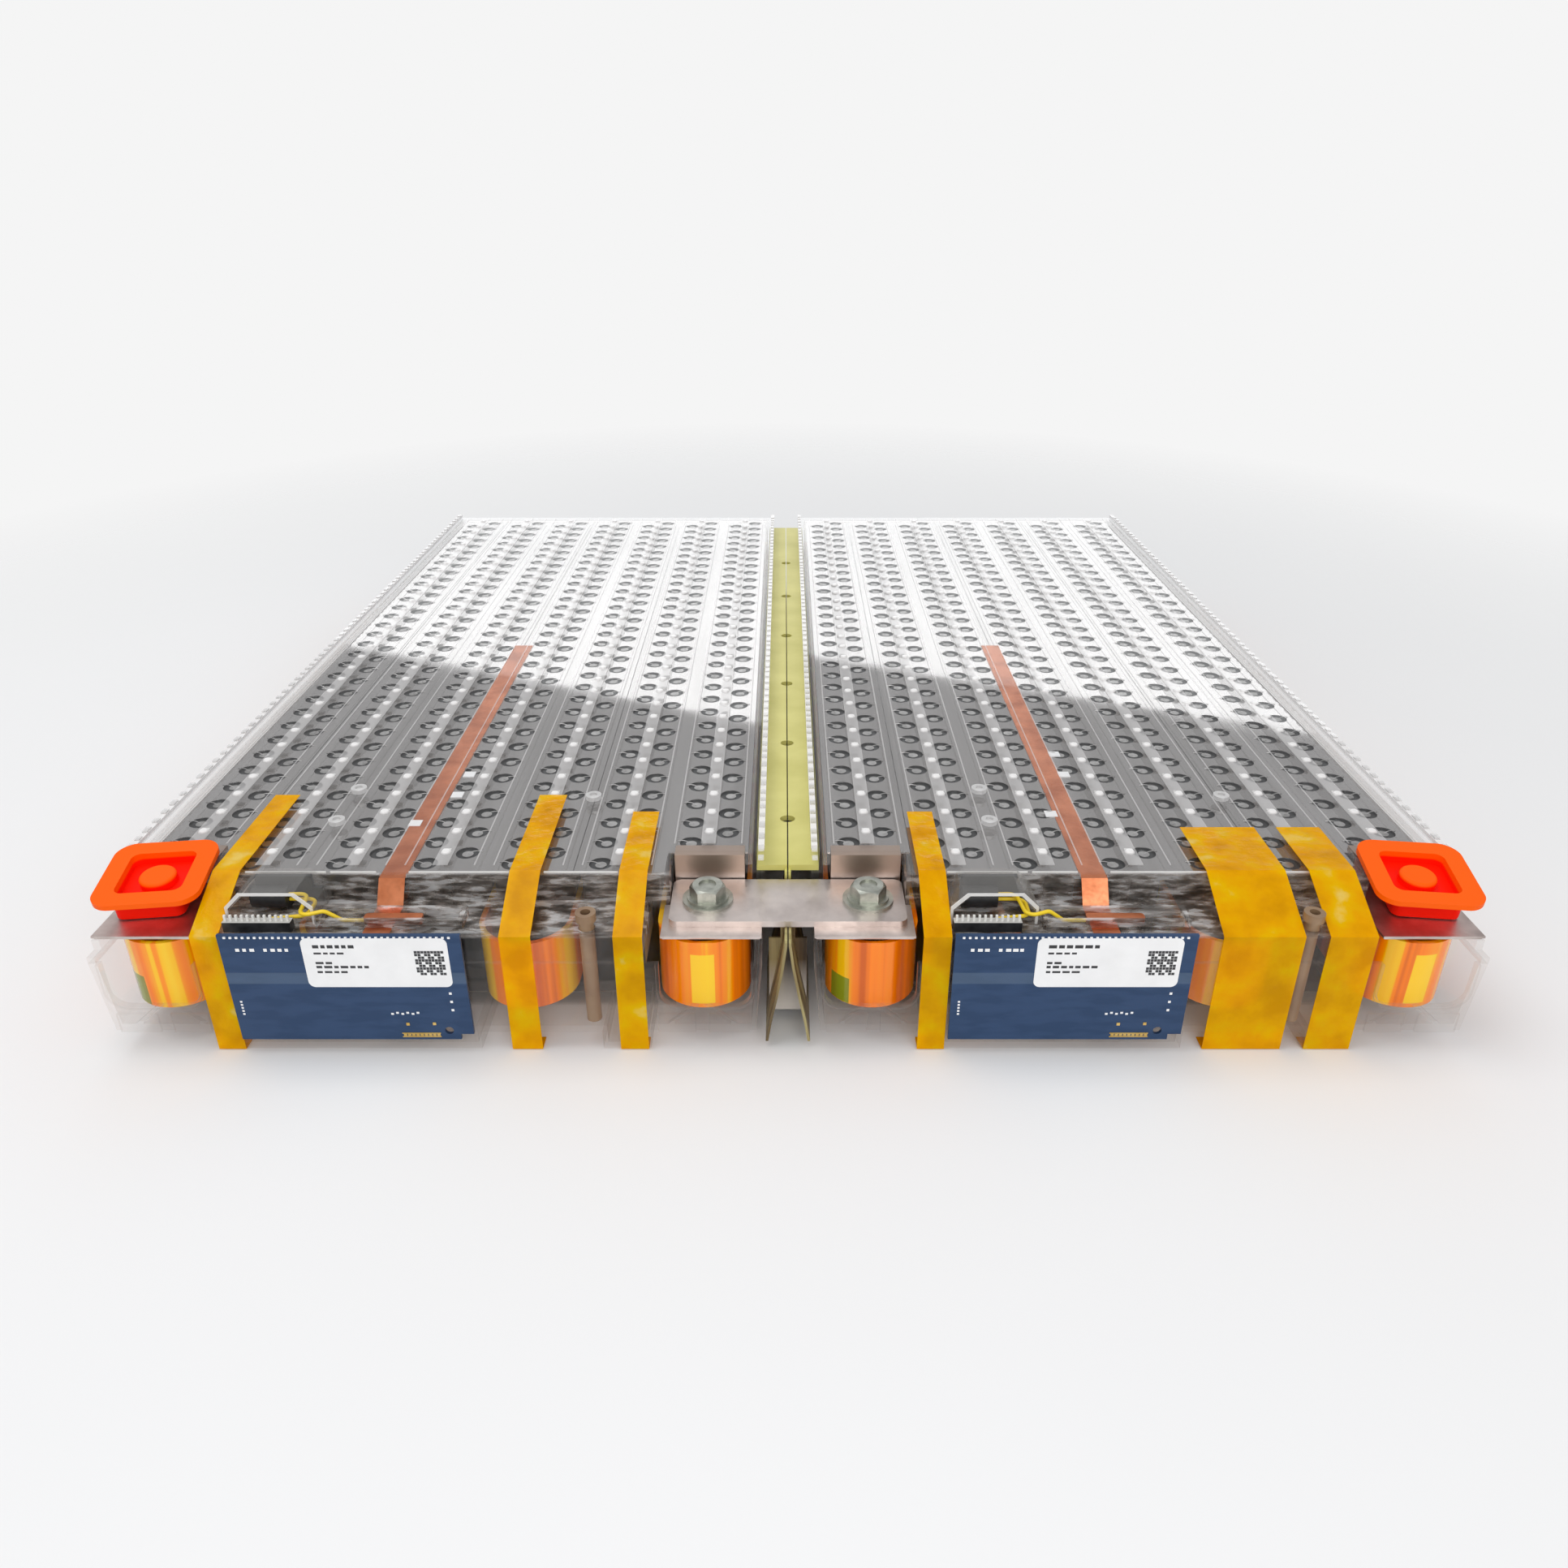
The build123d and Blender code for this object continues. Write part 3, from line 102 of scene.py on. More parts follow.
# ---- Material helpers --------------------------------------------------------------------------
class Shader:
    """A material under construction, with one Principled node."""

    def __init__(self, name, colour, roughness, metallic=0.0, **values):
        self.material = bpy.data.materials.new(name)
        self.material.use_nodes = True
        self.tree = self.material.node_tree
        self.tree.nodes.clear()
        self.output = self.add("ShaderNodeOutputMaterial")
        self.surface = self.add("ShaderNodeBsdfPrincipled")
        self.set(self.surface, "Base Color", (*colour, 1.0))
        self.set(self.surface, "Roughness", roughness)
        self.set(self.surface, "Metallic", metallic)
        for key, value in values.items():
            self.set(self.surface, key.replace("_", " ").title().replace("Ior", "IOR"), value)
        self.link(self.surface.outputs[0], self.output.inputs["Surface"])
        self.coords = self.add("ShaderNodeTexCoord").outputs["Object"]

    def add(self, kind, **values):
        node = self.tree.nodes.new(kind)
        for key, value in values.items():
            setattr(node, key, value)
        return node

    def set(self, node, socket, value):
        node.inputs[socket].default_value = value

    def link(self, source, target):
        self.tree.links.new(source, target)

    def noise(self, scale, detail=4.0, stretch=(1, 1, 1)):
        mapping = self.add("ShaderNodeMapping")
        self.set(mapping, "Scale", stretch)
        self.link(self.coords, mapping.inputs["Vector"])
        noise = self.add("ShaderNodeTexNoise")
        self.set(noise, "Scale", scale)
        self.set(noise, "Detail", detail)
        self.link(mapping.outputs["Vector"], noise.inputs["Vector"])
        return noise.outputs["Fac"]

    def ramp(self, source, stops):
        ramp = self.add("ShaderNodeValToRGB")
        elements = ramp.color_ramp.elements
        while len(elements) < len(stops):
            elements.new(0.5)
        for element, (place, colour) in zip(elements, stops):
            element.position = place
            element.color = (*colour, 1.0)
        self.link(source, ramp.inputs["Fac"])
        return ramp.outputs["Color"]

    def remap(self, source, low, high, to_low, to_high):
        node = self.add("ShaderNodeMapRange")
        for socket, value in (("From Min", low), ("From Max", high), ("To Min", to_low), ("To Max", to_high)):
            self.set(node, socket, value)
        self.link(source, node.inputs["Value"])
        return node.outputs["Result"]

    def axis(self, name):
        split = self.add("ShaderNodeSeparateXYZ")
        self.link(self.coords, split.inputs["Vector"])
        return split.outputs[name]

    def between(self, source, low, high, soft=0.0003):
        """One between two values of a socket, with soft ends."""
        rise = self.remap(source, low, low + soft, 0, 1)
        return self.math("MULTIPLY", rise, self.remap(source, high - soft, high, 1, 0))

    def blend(self, share, first, second):
        """A colour between two sockets or fixed colours."""
        mix = self.add("ShaderNodeMix", data_type="RGBA")
        self.link(share, mix.inputs["Factor"])
        for index, value in ((6, first), (7, second)):
            if isinstance(value, tuple):
                mix.inputs[index].default_value = (*value, 1)
            else:
                self.link(value, mix.inputs[index])
        return mix.outputs[2]

    def colour(self, source):
        self.link(source, self.surface.inputs["Base Color"])

    def roughness(self, source):
        self.link(source, self.surface.inputs["Roughness"])

    def bump(self, source, strength, distance):
        bump = self.add("ShaderNodeBump")
        self.set(bump, "Strength", strength)
        self.set(bump, "Distance", distance)
        self.link(source, bump.inputs["Height"])
        self.link(bump.outputs["Normal"], self.surface.inputs["Normal"])
        return bump.outputs["Normal"]

    def math(self, operation, first, second):
        """A maths node on a socket and a socket or number."""
        node = self.add("ShaderNodeMath", operation=operation)
        for index, value in enumerate((first, second)):
            if isinstance(value, (int, float)):
                node.inputs[index].default_value = value
            else:
                self.link(value, node.inputs[index])
        return node.outputs[0]

    def see_through(self, share, tint=(1, 1, 1), mirror_roughness=0.04, edge=0.0, veil_map=None, ior=1.5):
        """Lets part of the light straight through, less at a glancing angle, with a mirror on outer faces."""
        clear = self.add("ShaderNodeBsdfTransparent")
        self.set(clear, "Color", (*tint, 1.0))
        normal = self.surface.inputs["Normal"]
        bent = normal.links[0].from_socket if normal.is_linked else None
        veil = self.add("ShaderNodeLayerWeight")
        self.set(veil, "Blend", 0.5)
        glancing = self.math("MULTIPLY", self.math("POWER", veil.outputs["Facing"], 3.0), edge)
        mix = self.add("ShaderNodeMixShader")
        amount = self.math("ADD", glancing, 1 - share)
        if veil_map is not None:
            amount = self.math("ADD", amount, veil_map)
        self.link(amount, mix.inputs["Fac"])
        self.link(clear.outputs[0], mix.inputs[1])
        self.link(self.surface.outputs[0], mix.inputs[2])
        fresnel = self.add("ShaderNodeFresnel")
        self.set(fresnel, "IOR", ior)
        inside = self.add("ShaderNodeNewGeometry").outputs["Backfacing"]
        outside = self.math("SUBTRACT", 1.0, inside)
        mirror = self.add("ShaderNodeBsdfGlossy")
        self.set(mirror, "Roughness", mirror_roughness)
        last = self.add("ShaderNodeMixShader")
        self.link(self.math("MULTIPLY", fresnel.outputs[0], outside), last.inputs["Fac"])
        self.link(mix.outputs[0], last.inputs[1])
        self.link(mirror.outputs[0], last.inputs[2])
        if bent:
            self.link(bent, mirror.inputs["Normal"])
            self.link(bent, fresnel.inputs["Normal"])
        self.link(last.outputs[0], self.output.inputs["Surface"])
        return self


def clear_plastic(name, haze, tint, share, edge, mirror_roughness, wave_height):
    """Clear glossy moulded plastic with faint waviness and scuffs."""
    shader = Shader(name, haze, 0.3, specular_ior_level=0.1)
    wave = shader.noise(16, 2, (1, 0.6, 1))
    shader.bump(wave, 0.3, wave_height)
    scuff = shader.noise(260, 6, (1, 0.15, 1))
    shader.roughness(shader.remap(scuff, 0.35, 0.7, 0.22, 0.42))
    return shader.see_through(share, tint, mirror_roughness, edge).material


def shell_plastic():
    """The clear housing: almost invisible face on, grey at its edges, with painted glints and painted shade in
    dark-to-white streaks at the deck's step.
    """
    shader = Shader("shell_plastic", (0.60, 0.57, 0.55), 0.3, specular_ior_level=0.1)
    wave = shader.noise(26, 3, (1, 0.8, 1))
    shader.bump(wave, 0.35, 0.0012)
    # Painted glints and painted shade: streaks from near-black to white stand in for the step's reflections.
    painted_glint = shader.noise(180, 6, (0.5, 1.3, 2.0))
    shades = (
        (0.40, (0.08, 0.07, 0.06)), (0.49, (0.22, 0.19, 0.17)),
        (0.54, (0.55, 0.50, 0.46)), (0.60, (1.0, 1.0, 1.0)),
    )
    step = shader.between(shader.axis("Y"), FRONT + 5 * MM, FRONT + 40 * MM, 2 * MM)
    painted_glint_zone = shader.math("MULTIPLY", step, shader.between(shader.axis("Z"), 56 * MM, 76 * MM, 3 * MM))
    # The painted glints colour the haze only in the step zone, where the haze is also made thicker.
    shader.colour(shader.blend(painted_glint_zone, (0.60, 0.57, 0.55), shader.ramp(painted_glint, shades)))
    veil = shader.math("MULTIPLY", painted_glint_zone, 0.26)
    return shader.see_through(0.992, (0.985, 0.98, 0.975), 0.03, 0.5, veil, 1.36).material


def deck_plastic():
    """The clear deck sheet: plain sheet almost invisible, with ribs paler and bead tops palest as painted
    highlights.
    """
    shader = Shader("deck_plastic", (0.92, 0.90, 0.89), 0.3, specular_ior_level=0.2)
    wave = shader.noise(16, 2, (1, 0.6, 1))
    shader.bump(wave, 0.3, 0.0004)
    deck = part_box("left_top_cover")[1].z - 2.8 * MM
    height = shader.axis("Z")
    # Painted highlights: a whiter haze by height on the ribs and bead tops.
    rib_highlight = shader.remap(height, deck + 0.05 * MM, deck + 0.3 * MM, 0.0, 0.30)
    bead_highlight = shader.remap(height, deck + 0.75 * MM, deck + 1.6 * MM, 0.0, 0.60)
    veil = shader.math("ADD", rib_highlight, bead_highlight)
    return shader.see_through(0.985, (0.99, 0.99, 0.99), 0.025, 0.0, veil, 1.22).material


def plate_metal():
    """The grey collector sheet, lightly drawn along its length and smooth enough to mirror the panels."""
    shader = Shader("collector_metal", (0.40, 0.385, 0.375), 0.16, 0.85)
    drawn = shader.noise(90, 5, (1, 0.06, 1))
    shader.colour(shader.ramp(drawn, ((0.3, (0.38, 0.365, 0.355)), (0.7, (0.46, 0.445, 0.435)))))
    blotch = shader.noise(25, 3)
    shader.roughness(shader.remap(blotch, 0.3, 0.7, 0.03, 0.06))
    return shader.material


def metal(name, dark, light, roughness, scale, bump=0.05):
    """A plated or turned metal with blotchy tarnish."""
    shader = Shader(name, light, roughness, 1.0)
    blotch = shader.noise(scale, 6)
    shader.colour(shader.ramp(blotch, ((0.32, dark), (0.62, light))))
    fine = shader.noise(scale * 9, 4)
    shader.roughness(shader.remap(fine, 0.3, 0.7, roughness - 0.06, roughness + 0.12))
    shader.bump(fine, bump, 0.0004)
    return shader.material


def terminal_metal():
    """The plated tab: pinkish silver where it is flat, painted darker brown up the riser as painted shade under
    the deck edge.
    """
    shader = Shader("terminal_plating", (0.70, 0.62, 0.58), 0.42, 1.0)
    blotch = shader.noise(70, 5)
    bright = shader.ramp(blotch, ((0.32, (0.50, 0.43, 0.40)), (0.62, (0.74, 0.66, 0.62))))
    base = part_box("left_positive_terminal")[0].z
    # Painted shade: above the flat the plating turns darker brown, where the riser runs under the deck edge.
    share = shader.remap(shader.axis("Z"), base + 4 * MM, base + 9 * MM, 0, 1)
    mix = shader.add("ShaderNodeMix", data_type="RGBA")
    shader.link(share, mix.inputs["Factor"])
    shader.link(bright, mix.inputs[6])
    mix.inputs[7].default_value = (0.44, 0.34, 0.28, 1)
    shader.colour(mix.outputs[2])
    return shader.material


def pin_plastic():
    """The pin header: a dark body with pale pins."""
    shader = Shader("header_plastic", (0.03, 0.03, 0.03), 0.4)
    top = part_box("left_pin_header")[1].z
    grain = shader.noise(300, 3)
    dark = shader.ramp(grain, ((0.3, (0.012, 0.012, 0.013)), (0.7, (0.035, 0.035, 0.037))))
    share = shader.remap(shader.axis("Z"), top - 3.2 * MM, top - 2.9 * MM, 0, 1)
    mix = shader.add("ShaderNodeMix", data_type="RGBA")
    shader.link(share, mix.inputs["Factor"])
    shader.link(dark, mix.inputs[6])
    mix.inputs[7].default_value = (0.80, 0.79, 0.75, 1)
    shader.colour(mix.outputs[2])
    return shader.material


def curtain_look():
    """The olive strip, with painted shadow in streaked brown where it hangs down under the link."""
    shader = Shader("strip_olive", (0.50, 0.47, 0.12), 0.42)
    patch = shader.noise(30, 4)
    olive = shader.ramp(patch, ((0.3, (0.62, 0.575, 0.15)), (0.7, (0.76, 0.71, 0.23))))
    # Painted shadow of the link: streaked browns on the strip below its top.
    streak = shader.noise(120, 4, (1, 1, 0.05))
    shades = ((0.35, (0.07, 0.045, 0.02)), (0.5, (0.20, 0.14, 0.05)), (0.66, (0.42, 0.36, 0.16)))
    brown = shader.ramp(streak, shades)
    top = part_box("left_side_strip")[1].z
    share = shader.remap(shader.axis("Z"), top - 9 * MM, top - 3.5 * MM, 1, 0)
    mix = shader.add("ShaderNodeMix", data_type="RGBA")
    shader.link(share, mix.inputs["Factor"])
    shader.link(olive, mix.inputs[6])
    shader.link(brown, mix.inputs[7])
    shader.colour(mix.outputs[2])
    return shader.material


def tape_film():
    """Glossy crinkled amber tape, part see-through, in amber tone patches whose palest stop is a painted
    highlight on its folds.
    """
    shader = Shader("tape_film", (0.80, 0.42, 0.0), 0.3, specular_ior_level=0.0)
    patch = shader.noise(60, 5)
    # Amber tone patches; the palest, whitest stop is a painted highlight.
    shades = (
        (0.34, (0.84, 0.42, 0.0)), (0.5, (1.0, 0.54, 0.0)),
        (0.64, (1.0, 0.66, 0.0)), (0.74, (1.0, 0.82, 0.20)),
    )
    shader.colour(shader.ramp(patch, shades))
    crinkle = shader.noise(110, 5, (1, 1, 0.7))
    shader.bump(crinkle, 0.7, 0.002)
    return shader.see_through(0.46, (1.0, 0.72, 0.0), 0.10, 0.0, None, 1.16).material


def ribbon_film():
    """The wrapped coolant ribbon: glossy upright bands of orange and yellow."""
    shader = Shader("ribbon_film", (1.0, 0.27, 0.0), 0.13, specular_ior_level=0.6)
    bands = shader.noise(95, 3, (1, 0.5, 0.01))
    shades = (
        (0.36, (0.66, 0.11, 0.0)), (0.44, (1.0, 0.22, 0.0)), (0.52, (1.0, 0.30, 0.0)),
        (0.56, (1.0, 0.52, 0.0)), (0.66, (1.0, 0.60, 0.01)),
    )
    colour = shader.ramp(bands, shades)
    reach = module_centre("right")
    across, height = shader.axis("X"), shader.axis("Z")
    patches = (
        ((-reach + 117 * MM, -reach + 128 * MM, 22 * MM, 49 * MM), (1.0, 0.66, 0.01)),
        ((reach + 120 * MM, reach + 130 * MM, 22 * MM, 49 * MM), (1.0, 0.66, 0.01)),
        ((-reach - 140 * MM, -reach - 131 * MM, 20 * MM, 36 * MM), (0.10, 0.22, 0.01)),
        ((reach - 141 * MM, reach - 133 * MM, 20 * MM, 34 * MM), (0.12, 0.24, 0.01)),
    )
    for (x0, x1, z0, z1), shade in patches:
        mask = shader.math("MULTIPLY", shader.between(across, x0, x1), shader.between(height, z0, z1))
        colour = shader.blend(shader.math("MULTIPLY", mask, 0.85), colour, shade)
    shader.colour(colour)
    ripple = shader.noise(40, 3, (1, 1, 0.3))
    shader.bump(ripple, 0.3, 0.0015)
    return shader.material


def silicone():
    """Bright orange silicone, painted deep red as painted shade down in the recess and on the skirt."""
    shader = Shader("orange_silicone_look", (1.0, 0.13, 0.0), 0.5, specular_ior_level=0.12)
    low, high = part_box("left_terminal_cap")
    rise = math.tan(math.radians(7.0))
    level = high.z - 22.8 * MM * math.sin(math.radians(7.0))
    lean = shader.math("MULTIPLY", shader.math("SUBTRACT", shader.axis("Y"), (low.y + high.y) / 2), rise)
    height = shader.math("SUBTRACT", shader.math("SUBTRACT", shader.axis("Z"), lean), level)
    # Painted shade: below the rim's level the orange turns deep red.
    share = shader.remap(height, -0.0034, -0.0024, 0, 1)
    shader.colour(shader.ramp(share, ((0.0, (1.0, 0.010, 0.0)), (1.0, (1.0, 0.120, 0.0)))))
    grain = shader.noise(900, 3)
    shader.bump(grain, 0.10, 0.0003)
    return shader.material


def plain(name, dark, light, roughness, scale=60, bump=0.1):
    """Moulded or printed plastic with slight colour change and grain."""
    shader = Shader(name, light, roughness)
    patch = shader.noise(scale, 4)
    shader.colour(shader.ramp(patch, ((0.3, dark), (0.7, light))))
    grain = shader.noise(scale * 14, 3)
    shader.bump(grain, bump, 0.0003)
    return shader.material


def board_look():
    """Slate-blue solder mask over faint tracks, with a paler band across the middle."""
    shader = Shader("board_mask", (0.030, 0.062, 0.136), 0.3, specular_ior_level=0.2)
    tracks = shader.noise(220, 2, (0.25, 1, 1))
    shades = ((0.42, (0.026, 0.056, 0.125)), (0.5, (0.030, 0.062, 0.136)), (0.6, (0.033, 0.067, 0.146)))
    base = shader.ramp(tracks, shades)
    low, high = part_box("left_control_board")
    middle = low.z + 0.54 * (high.z - low.z)
    edge_low = shader.remap(shader.axis("Z"), middle, middle + 0.6 * MM, 0, 1)
    edge_high = shader.remap(shader.axis("Z"), middle + 6 * MM, middle + 6.6 * MM, 1, 0)
    band = shader.math("MULTIPLY", shader.math("MULTIPLY", edge_low, edge_high), 0.18)
    mix = shader.add("ShaderNodeMix", data_type="RGBA")
    shader.link(band, mix.inputs["Factor"])
    shader.link(base, mix.inputs[6])
    mix.inputs[7].default_value = (0.24, 0.32, 0.40, 1)
    shader.colour(mix.outputs[2])
    shader.bump(tracks, 0.1, 0.0002)
    return shader.material


CLEAR_DECK = deck_plastic()
CLEAR_SHELL = shell_plastic()
CLEAR_HOOD = clear_plastic("hood_plastic", (0.55, 0.53, 0.50), (0.97, 0.965, 0.96), 0.965, 0.5, 0.03, 0.006)
# A whitish plastic used only for painted highlights.
PAINTED_HIGHLIGHT = clear_plastic("painted_highlight_plastic", (1.0, 0.99, 0.97), (0.98, 0.98, 0.98), 0.48, 0.5, 0.05, 0.003)
CLEAR_CLIP = clear_plastic("clip_plastic", (0.90, 0.89, 0.88), (0.98, 0.98, 0.98), 0.72, 0.9, 0.03, 0.002)
CLEAR_HOLDER = clear_plastic(
    "holder_plastic", (0.70, 0.69, 0.67), (0.96, 0.96, 0.95), 0.90, 0.3, 0.15, 0.0008)
PLATE = plate_metal()
# Painted shade: the cell cans are near-black so the deck's windows show the shade in their recesses.
CELL = metal("cell_can_painted_shade", (0.030, 0.032, 0.034), (0.075, 0.078, 0.080), 0.34, 40)
BUTTON = metal("cell_button", (0.34, 0.33, 0.32), (0.52, 0.51, 0.50), 0.34, 90)
RIBBON = ribbon_film()
TAPE = tape_film()
SILICONE = silicone()
TERMINAL = terminal_metal()
LINK = metal("link_plating", (0.56, 0.49, 0.46), (0.80, 0.72, 0.68), 0.34, 45, 0.02)
ZINC = metal("bolt_zinc", (0.34, 0.35, 0.31), (0.54, 0.55, 0.49), 0.36, 160, 0.02)
BOARD = board_look()
PAPER = plain("label_paper", (0.86, 0.86, 0.86), (0.92, 0.92, 0.92), 0.5, 90, 0.03)
WHITE = pin_plastic()
# Black rubber for the wire sleeve, also used for the painted shade block inside the hood.
BLACK = plain("sleeve_rubber_and_painted_shade", (0.006, 0.006, 0.007), (0.02, 0.02, 0.022), 0.5, 200, 0.3)
COPPER = metal("copper_film_look", (0.50, 0.15, 0.06), (0.74, 0.27, 0.13), 0.36, 60)
BROWN = plain("fitting_plastic", (0.22, 0.13, 0.07), (0.36, 0.24, 0.14), 0.4)
OLIVE = curtain_look()
GOLD = metal("pad_gold", (0.70, 0.45, 0.12), (0.85, 0.60, 0.22), 0.3, 80)
YELLOW = plain("wire_yellow", (0.85, 0.58, 0.01), (0.95, 0.70, 0.02), 0.35)
DARK = plain("dark_mark", (0.02, 0.02, 0.022), (0.05, 0.05, 0.055), 0.5)

LOOKS = {
    "bottom_cover": CLEAR_SHELL, "lower_shell": CLEAR_SHELL, "upper_shell": CLEAR_SHELL,
    "top_cover": CLEAR_DECK, "lower_cell_holder": CLEAR_HOLDER, "upper_cell_holder": CLEAR_HOLDER,
    "cells": CELL, "coolant_ribbon": RIBBON, "coolant_fitting": BROWN,
    "negative_terminal": TERMINAL, "positive_terminal": TERMINAL, "control_board": BOARD,
    "board_label": PAPER, "pin_header": WHITE, "wire_hood": CLEAR_HOOD, "wire_sleeve": BLACK,
    "sensor_wires": YELLOW, "flex_connector": COPPER, "sense_flex": COPPER,
    "deck_clips": CLEAR_CLIP, "lower_collectors": PLATE, "front_tapes": TAPE,
    "terminal_cap": SILICONE,
}
WHOLE_LOOKS = {
    "link_plate": LINK, "link_bolts": ZINC, "terminal_nuts": ZINC,
    "left_side_strip": OLIVE, "right_side_strip": OLIVE,
}


def look_for(node):
    """The material of one CAD node."""
    if node in WHOLE_LOOKS:
        return WHOLE_LOOKS[node]
    piece = node.split("_", 1)[1]
    if piece.startswith("upper_collector"):
        return PLATE
    return LOOKS[piece]


def dress_nodes():
    """Gives every CAD node its finish."""
    for name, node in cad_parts.items():
        node.data.materials.clear()
        node.data.materials.append(look_for(name))


# ---- Added pieces ------------------------------------------------------------------------------
def new_piece(name, mesh, look):
    """Makes a mesh a piece of the object."""
    piece = bpy.data.objects.new(name, mesh)
    bpy.context.scene.collection.objects.link(piece)
    mesh.materials.append(look)
    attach(piece, "root")
    return piece


def mesh_from(name, build):
    """A mesh filled by a bmesh function."""
    shape = bmesh.new()
    build(shape)
    mesh = bpy.data.meshes.new(name)
    shape.to_mesh(mesh)
    shape.free()
    return mesh


def add_bar(shape, low, high):
    """A box between two corners."""
    places = itertools.product(*zip(low, high))
    corners = [shape.verts.new(place) for place in places]
    for face in ((0, 1, 3, 2), (4, 6, 7, 5), (0, 4, 5, 1), (2, 3, 7, 6), (0, 2, 6, 4), (1, 5, 7, 3)):
        shape.faces.new([corners[index] for index in face])


def add_bond(shape, start, end, rise, radius):
    """A thin wire bond that arches between two points."""
    steps = 5
    side = Vector((end.y - start.y, start.x - end.x, 0)).normalized()
    rows = []
    for step in range(steps + 1):
        share = step / steps
        middle = start.lerp(end, share) + Vector((0, 0, rise * 4 * share * (1 - share)))
        up = Vector((0, 0, 1))
        rows.append([shape.verts.new(middle + radius * point) for point in (side, up, -side)])
    for first, second in zip(rows, rows[1:]):
        for index in range(3):
            after = (index + 1) % 3
            shape.faces.new((first[index], first[after], second[after], second[index]))
    shape.faces.new(rows[0])
    shape.faces.new(list(reversed(rows[-1])))


def add_disc(shape, x, y, z, radius, height, segments=12):
    """A low round button."""
    rows = []
    for level in (z, z + height):
        row = []
        for step in range(segments):
            angle = 2 * math.pi * step / segments
            row.append(shape.verts.new((x + radius * math.cos(angle), y + radius * math.sin(angle), level)))
        rows.append(row)
    for step in range(segments):
        after = (step + 1) % segments
        shape.faces.new((rows[0][step], rows[0][after], rows[1][after], rows[1][step]))
    shape.faces.new(rows[1])


def cell_tops(side):
    """The button on each cell and its wire bond to the collector."""
    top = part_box(f"{side}_cells")[1].z
    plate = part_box(f"{side}_upper_collector_2")[1].z
    centre = module_centre(side)

    def buttons(shape):
        for x, y in cell_centres(side):
            add_disc(shape, x, y, top, 2.7 * MM, 0.3 * MM)

    def bonds(shape):
        for x, y in cell_centres(side):
            row = round((x - centre) / DOUBLE_ROW_PITCH) * DOUBLE_ROW_PITCH + centre
            hand = 1 if x > row else -1
            start = Vector((x, y, top + 0.3 * MM))
            end = Vector((x + hand * 6.8 * MM, y + 1.5 * MM, plate))
            add_bond(shape, start, end, 0.9 * MM, 0.25 * MM)

    new_piece(f"{side}_cell_buttons", mesh_from(f"{side}_cell_buttons", buttons), BUTTON)
    new_piece(f"{side}_wire_bonds", mesh_from(f"{side}_wire_bonds", bonds), BUTTON)


# Each line of plain marks on the label: height above the label's foot, mark height and marks in the line, in mm.
LABEL_LINES = ((20.8, 1.7, 6), (17.6, 1.0, 4), (12.4, 1.2, 2), (10.2, 1.3, 7), (7.6, 1.1, 4))


def board_details(side):
    """Solder points and marks on the board, pins along its top edge and plain marks on its label."""
    low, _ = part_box(f"{side}_control_board")
    label_low, label_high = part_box(f"{side}_board_label")
    face = low.y
    paper = label_low.y

    def at(shape, x, z, width, height, depth=0.12, front=None):
        """A low mark at a place given from the board's lower left corner, in millimetres."""
        front = face if front is None else front
        left, base = low.x + x * MM, low.z + z * MM
        add_bar(shape, (left, front - depth * MM, base), (left + width * MM, front, base + height * MM))

    def prints(shape):
        for index in range(7):
            at(shape, 7 + index * 3.1 + (index > 2) * 3, 48.5, random.uniform(1.4, 2.4), 1.5)
        for index in range(5):
            at(shape, 3.2, 14 + index * 1.7, 1.0, 0.9)
        for index in range(6):
            at(shape, 70 + index * 2.3, 14 + (index % 2) * 0.6, 1.2, 1.0)
        for index in range(3):
            at(shape, 97.5, 16 + index * 4.6, 1.2, 1.2)

    def pins(shape):
        for index in range(38):
            at(shape, 3 + index * 2.64, 55.4, 1.1, 0.9, 0.5)

    def pads(shape):
        for index in range(9):
            at(shape, 74 + index * 1.9, 2.0, 1.5, 1.3, 0.2)
        at(shape, 73.4, 1.4, 17.6, 0.5, 0.25)
        at(shape, 73.4, 3.4, 17.6, 0.5, 0.25)
        for x, z in ((76, 8), (88, 8.2)):
            at(shape, x, z, 1.5, 1.5, 0.2)

    def marks(shape):
        for z, height, words in LABEL_LINES:
            x = 5 * MM
            for _ in range(words):
                width = random.uniform(1.8, 3.6) * MM
                base = label_low.z + z * MM
                start = label_low.x + x
                top = base + height * MM
                add_bar(shape, (start, paper - 0.03 * MM, base), (start + width, paper, top))
                x += width + 0.9 * MM
        for column in range(9):
            for row in range(9):
                if (column * 7 + row * 5 + column * row) % 3:
                    x = label_high.x - (15 - column * 1.45) * MM
                    z = label_low.z + (6.5 + row * 1.45) * MM
                    add_bar(shape, (x, paper - 0.03 * MM, z), (x + 1.3 * MM, paper, z + 1.3 * MM))

    new_piece(f"{side}_board_prints", mesh_from(f"{side}_board_prints", prints), PAPER)
    new_piece(f"{side}_board_pins", mesh_from(f"{side}_board_pins", pins), PAPER)
    new_piece(f"{side}_board_pads", mesh_from(f"{side}_board_pads", pads), GOLD)
    new_piece(f"{side}_label_marks", mesh_from(f"{side}_label_marks", marks), DARK)


TAB_PLACES = {
    "left": ((-10.3, 140.6), (-10.9, 116.8), (-24.2, 86.2)),
    "right": ((-12, 166), (-12, 140.6), (-28, 96)),
}


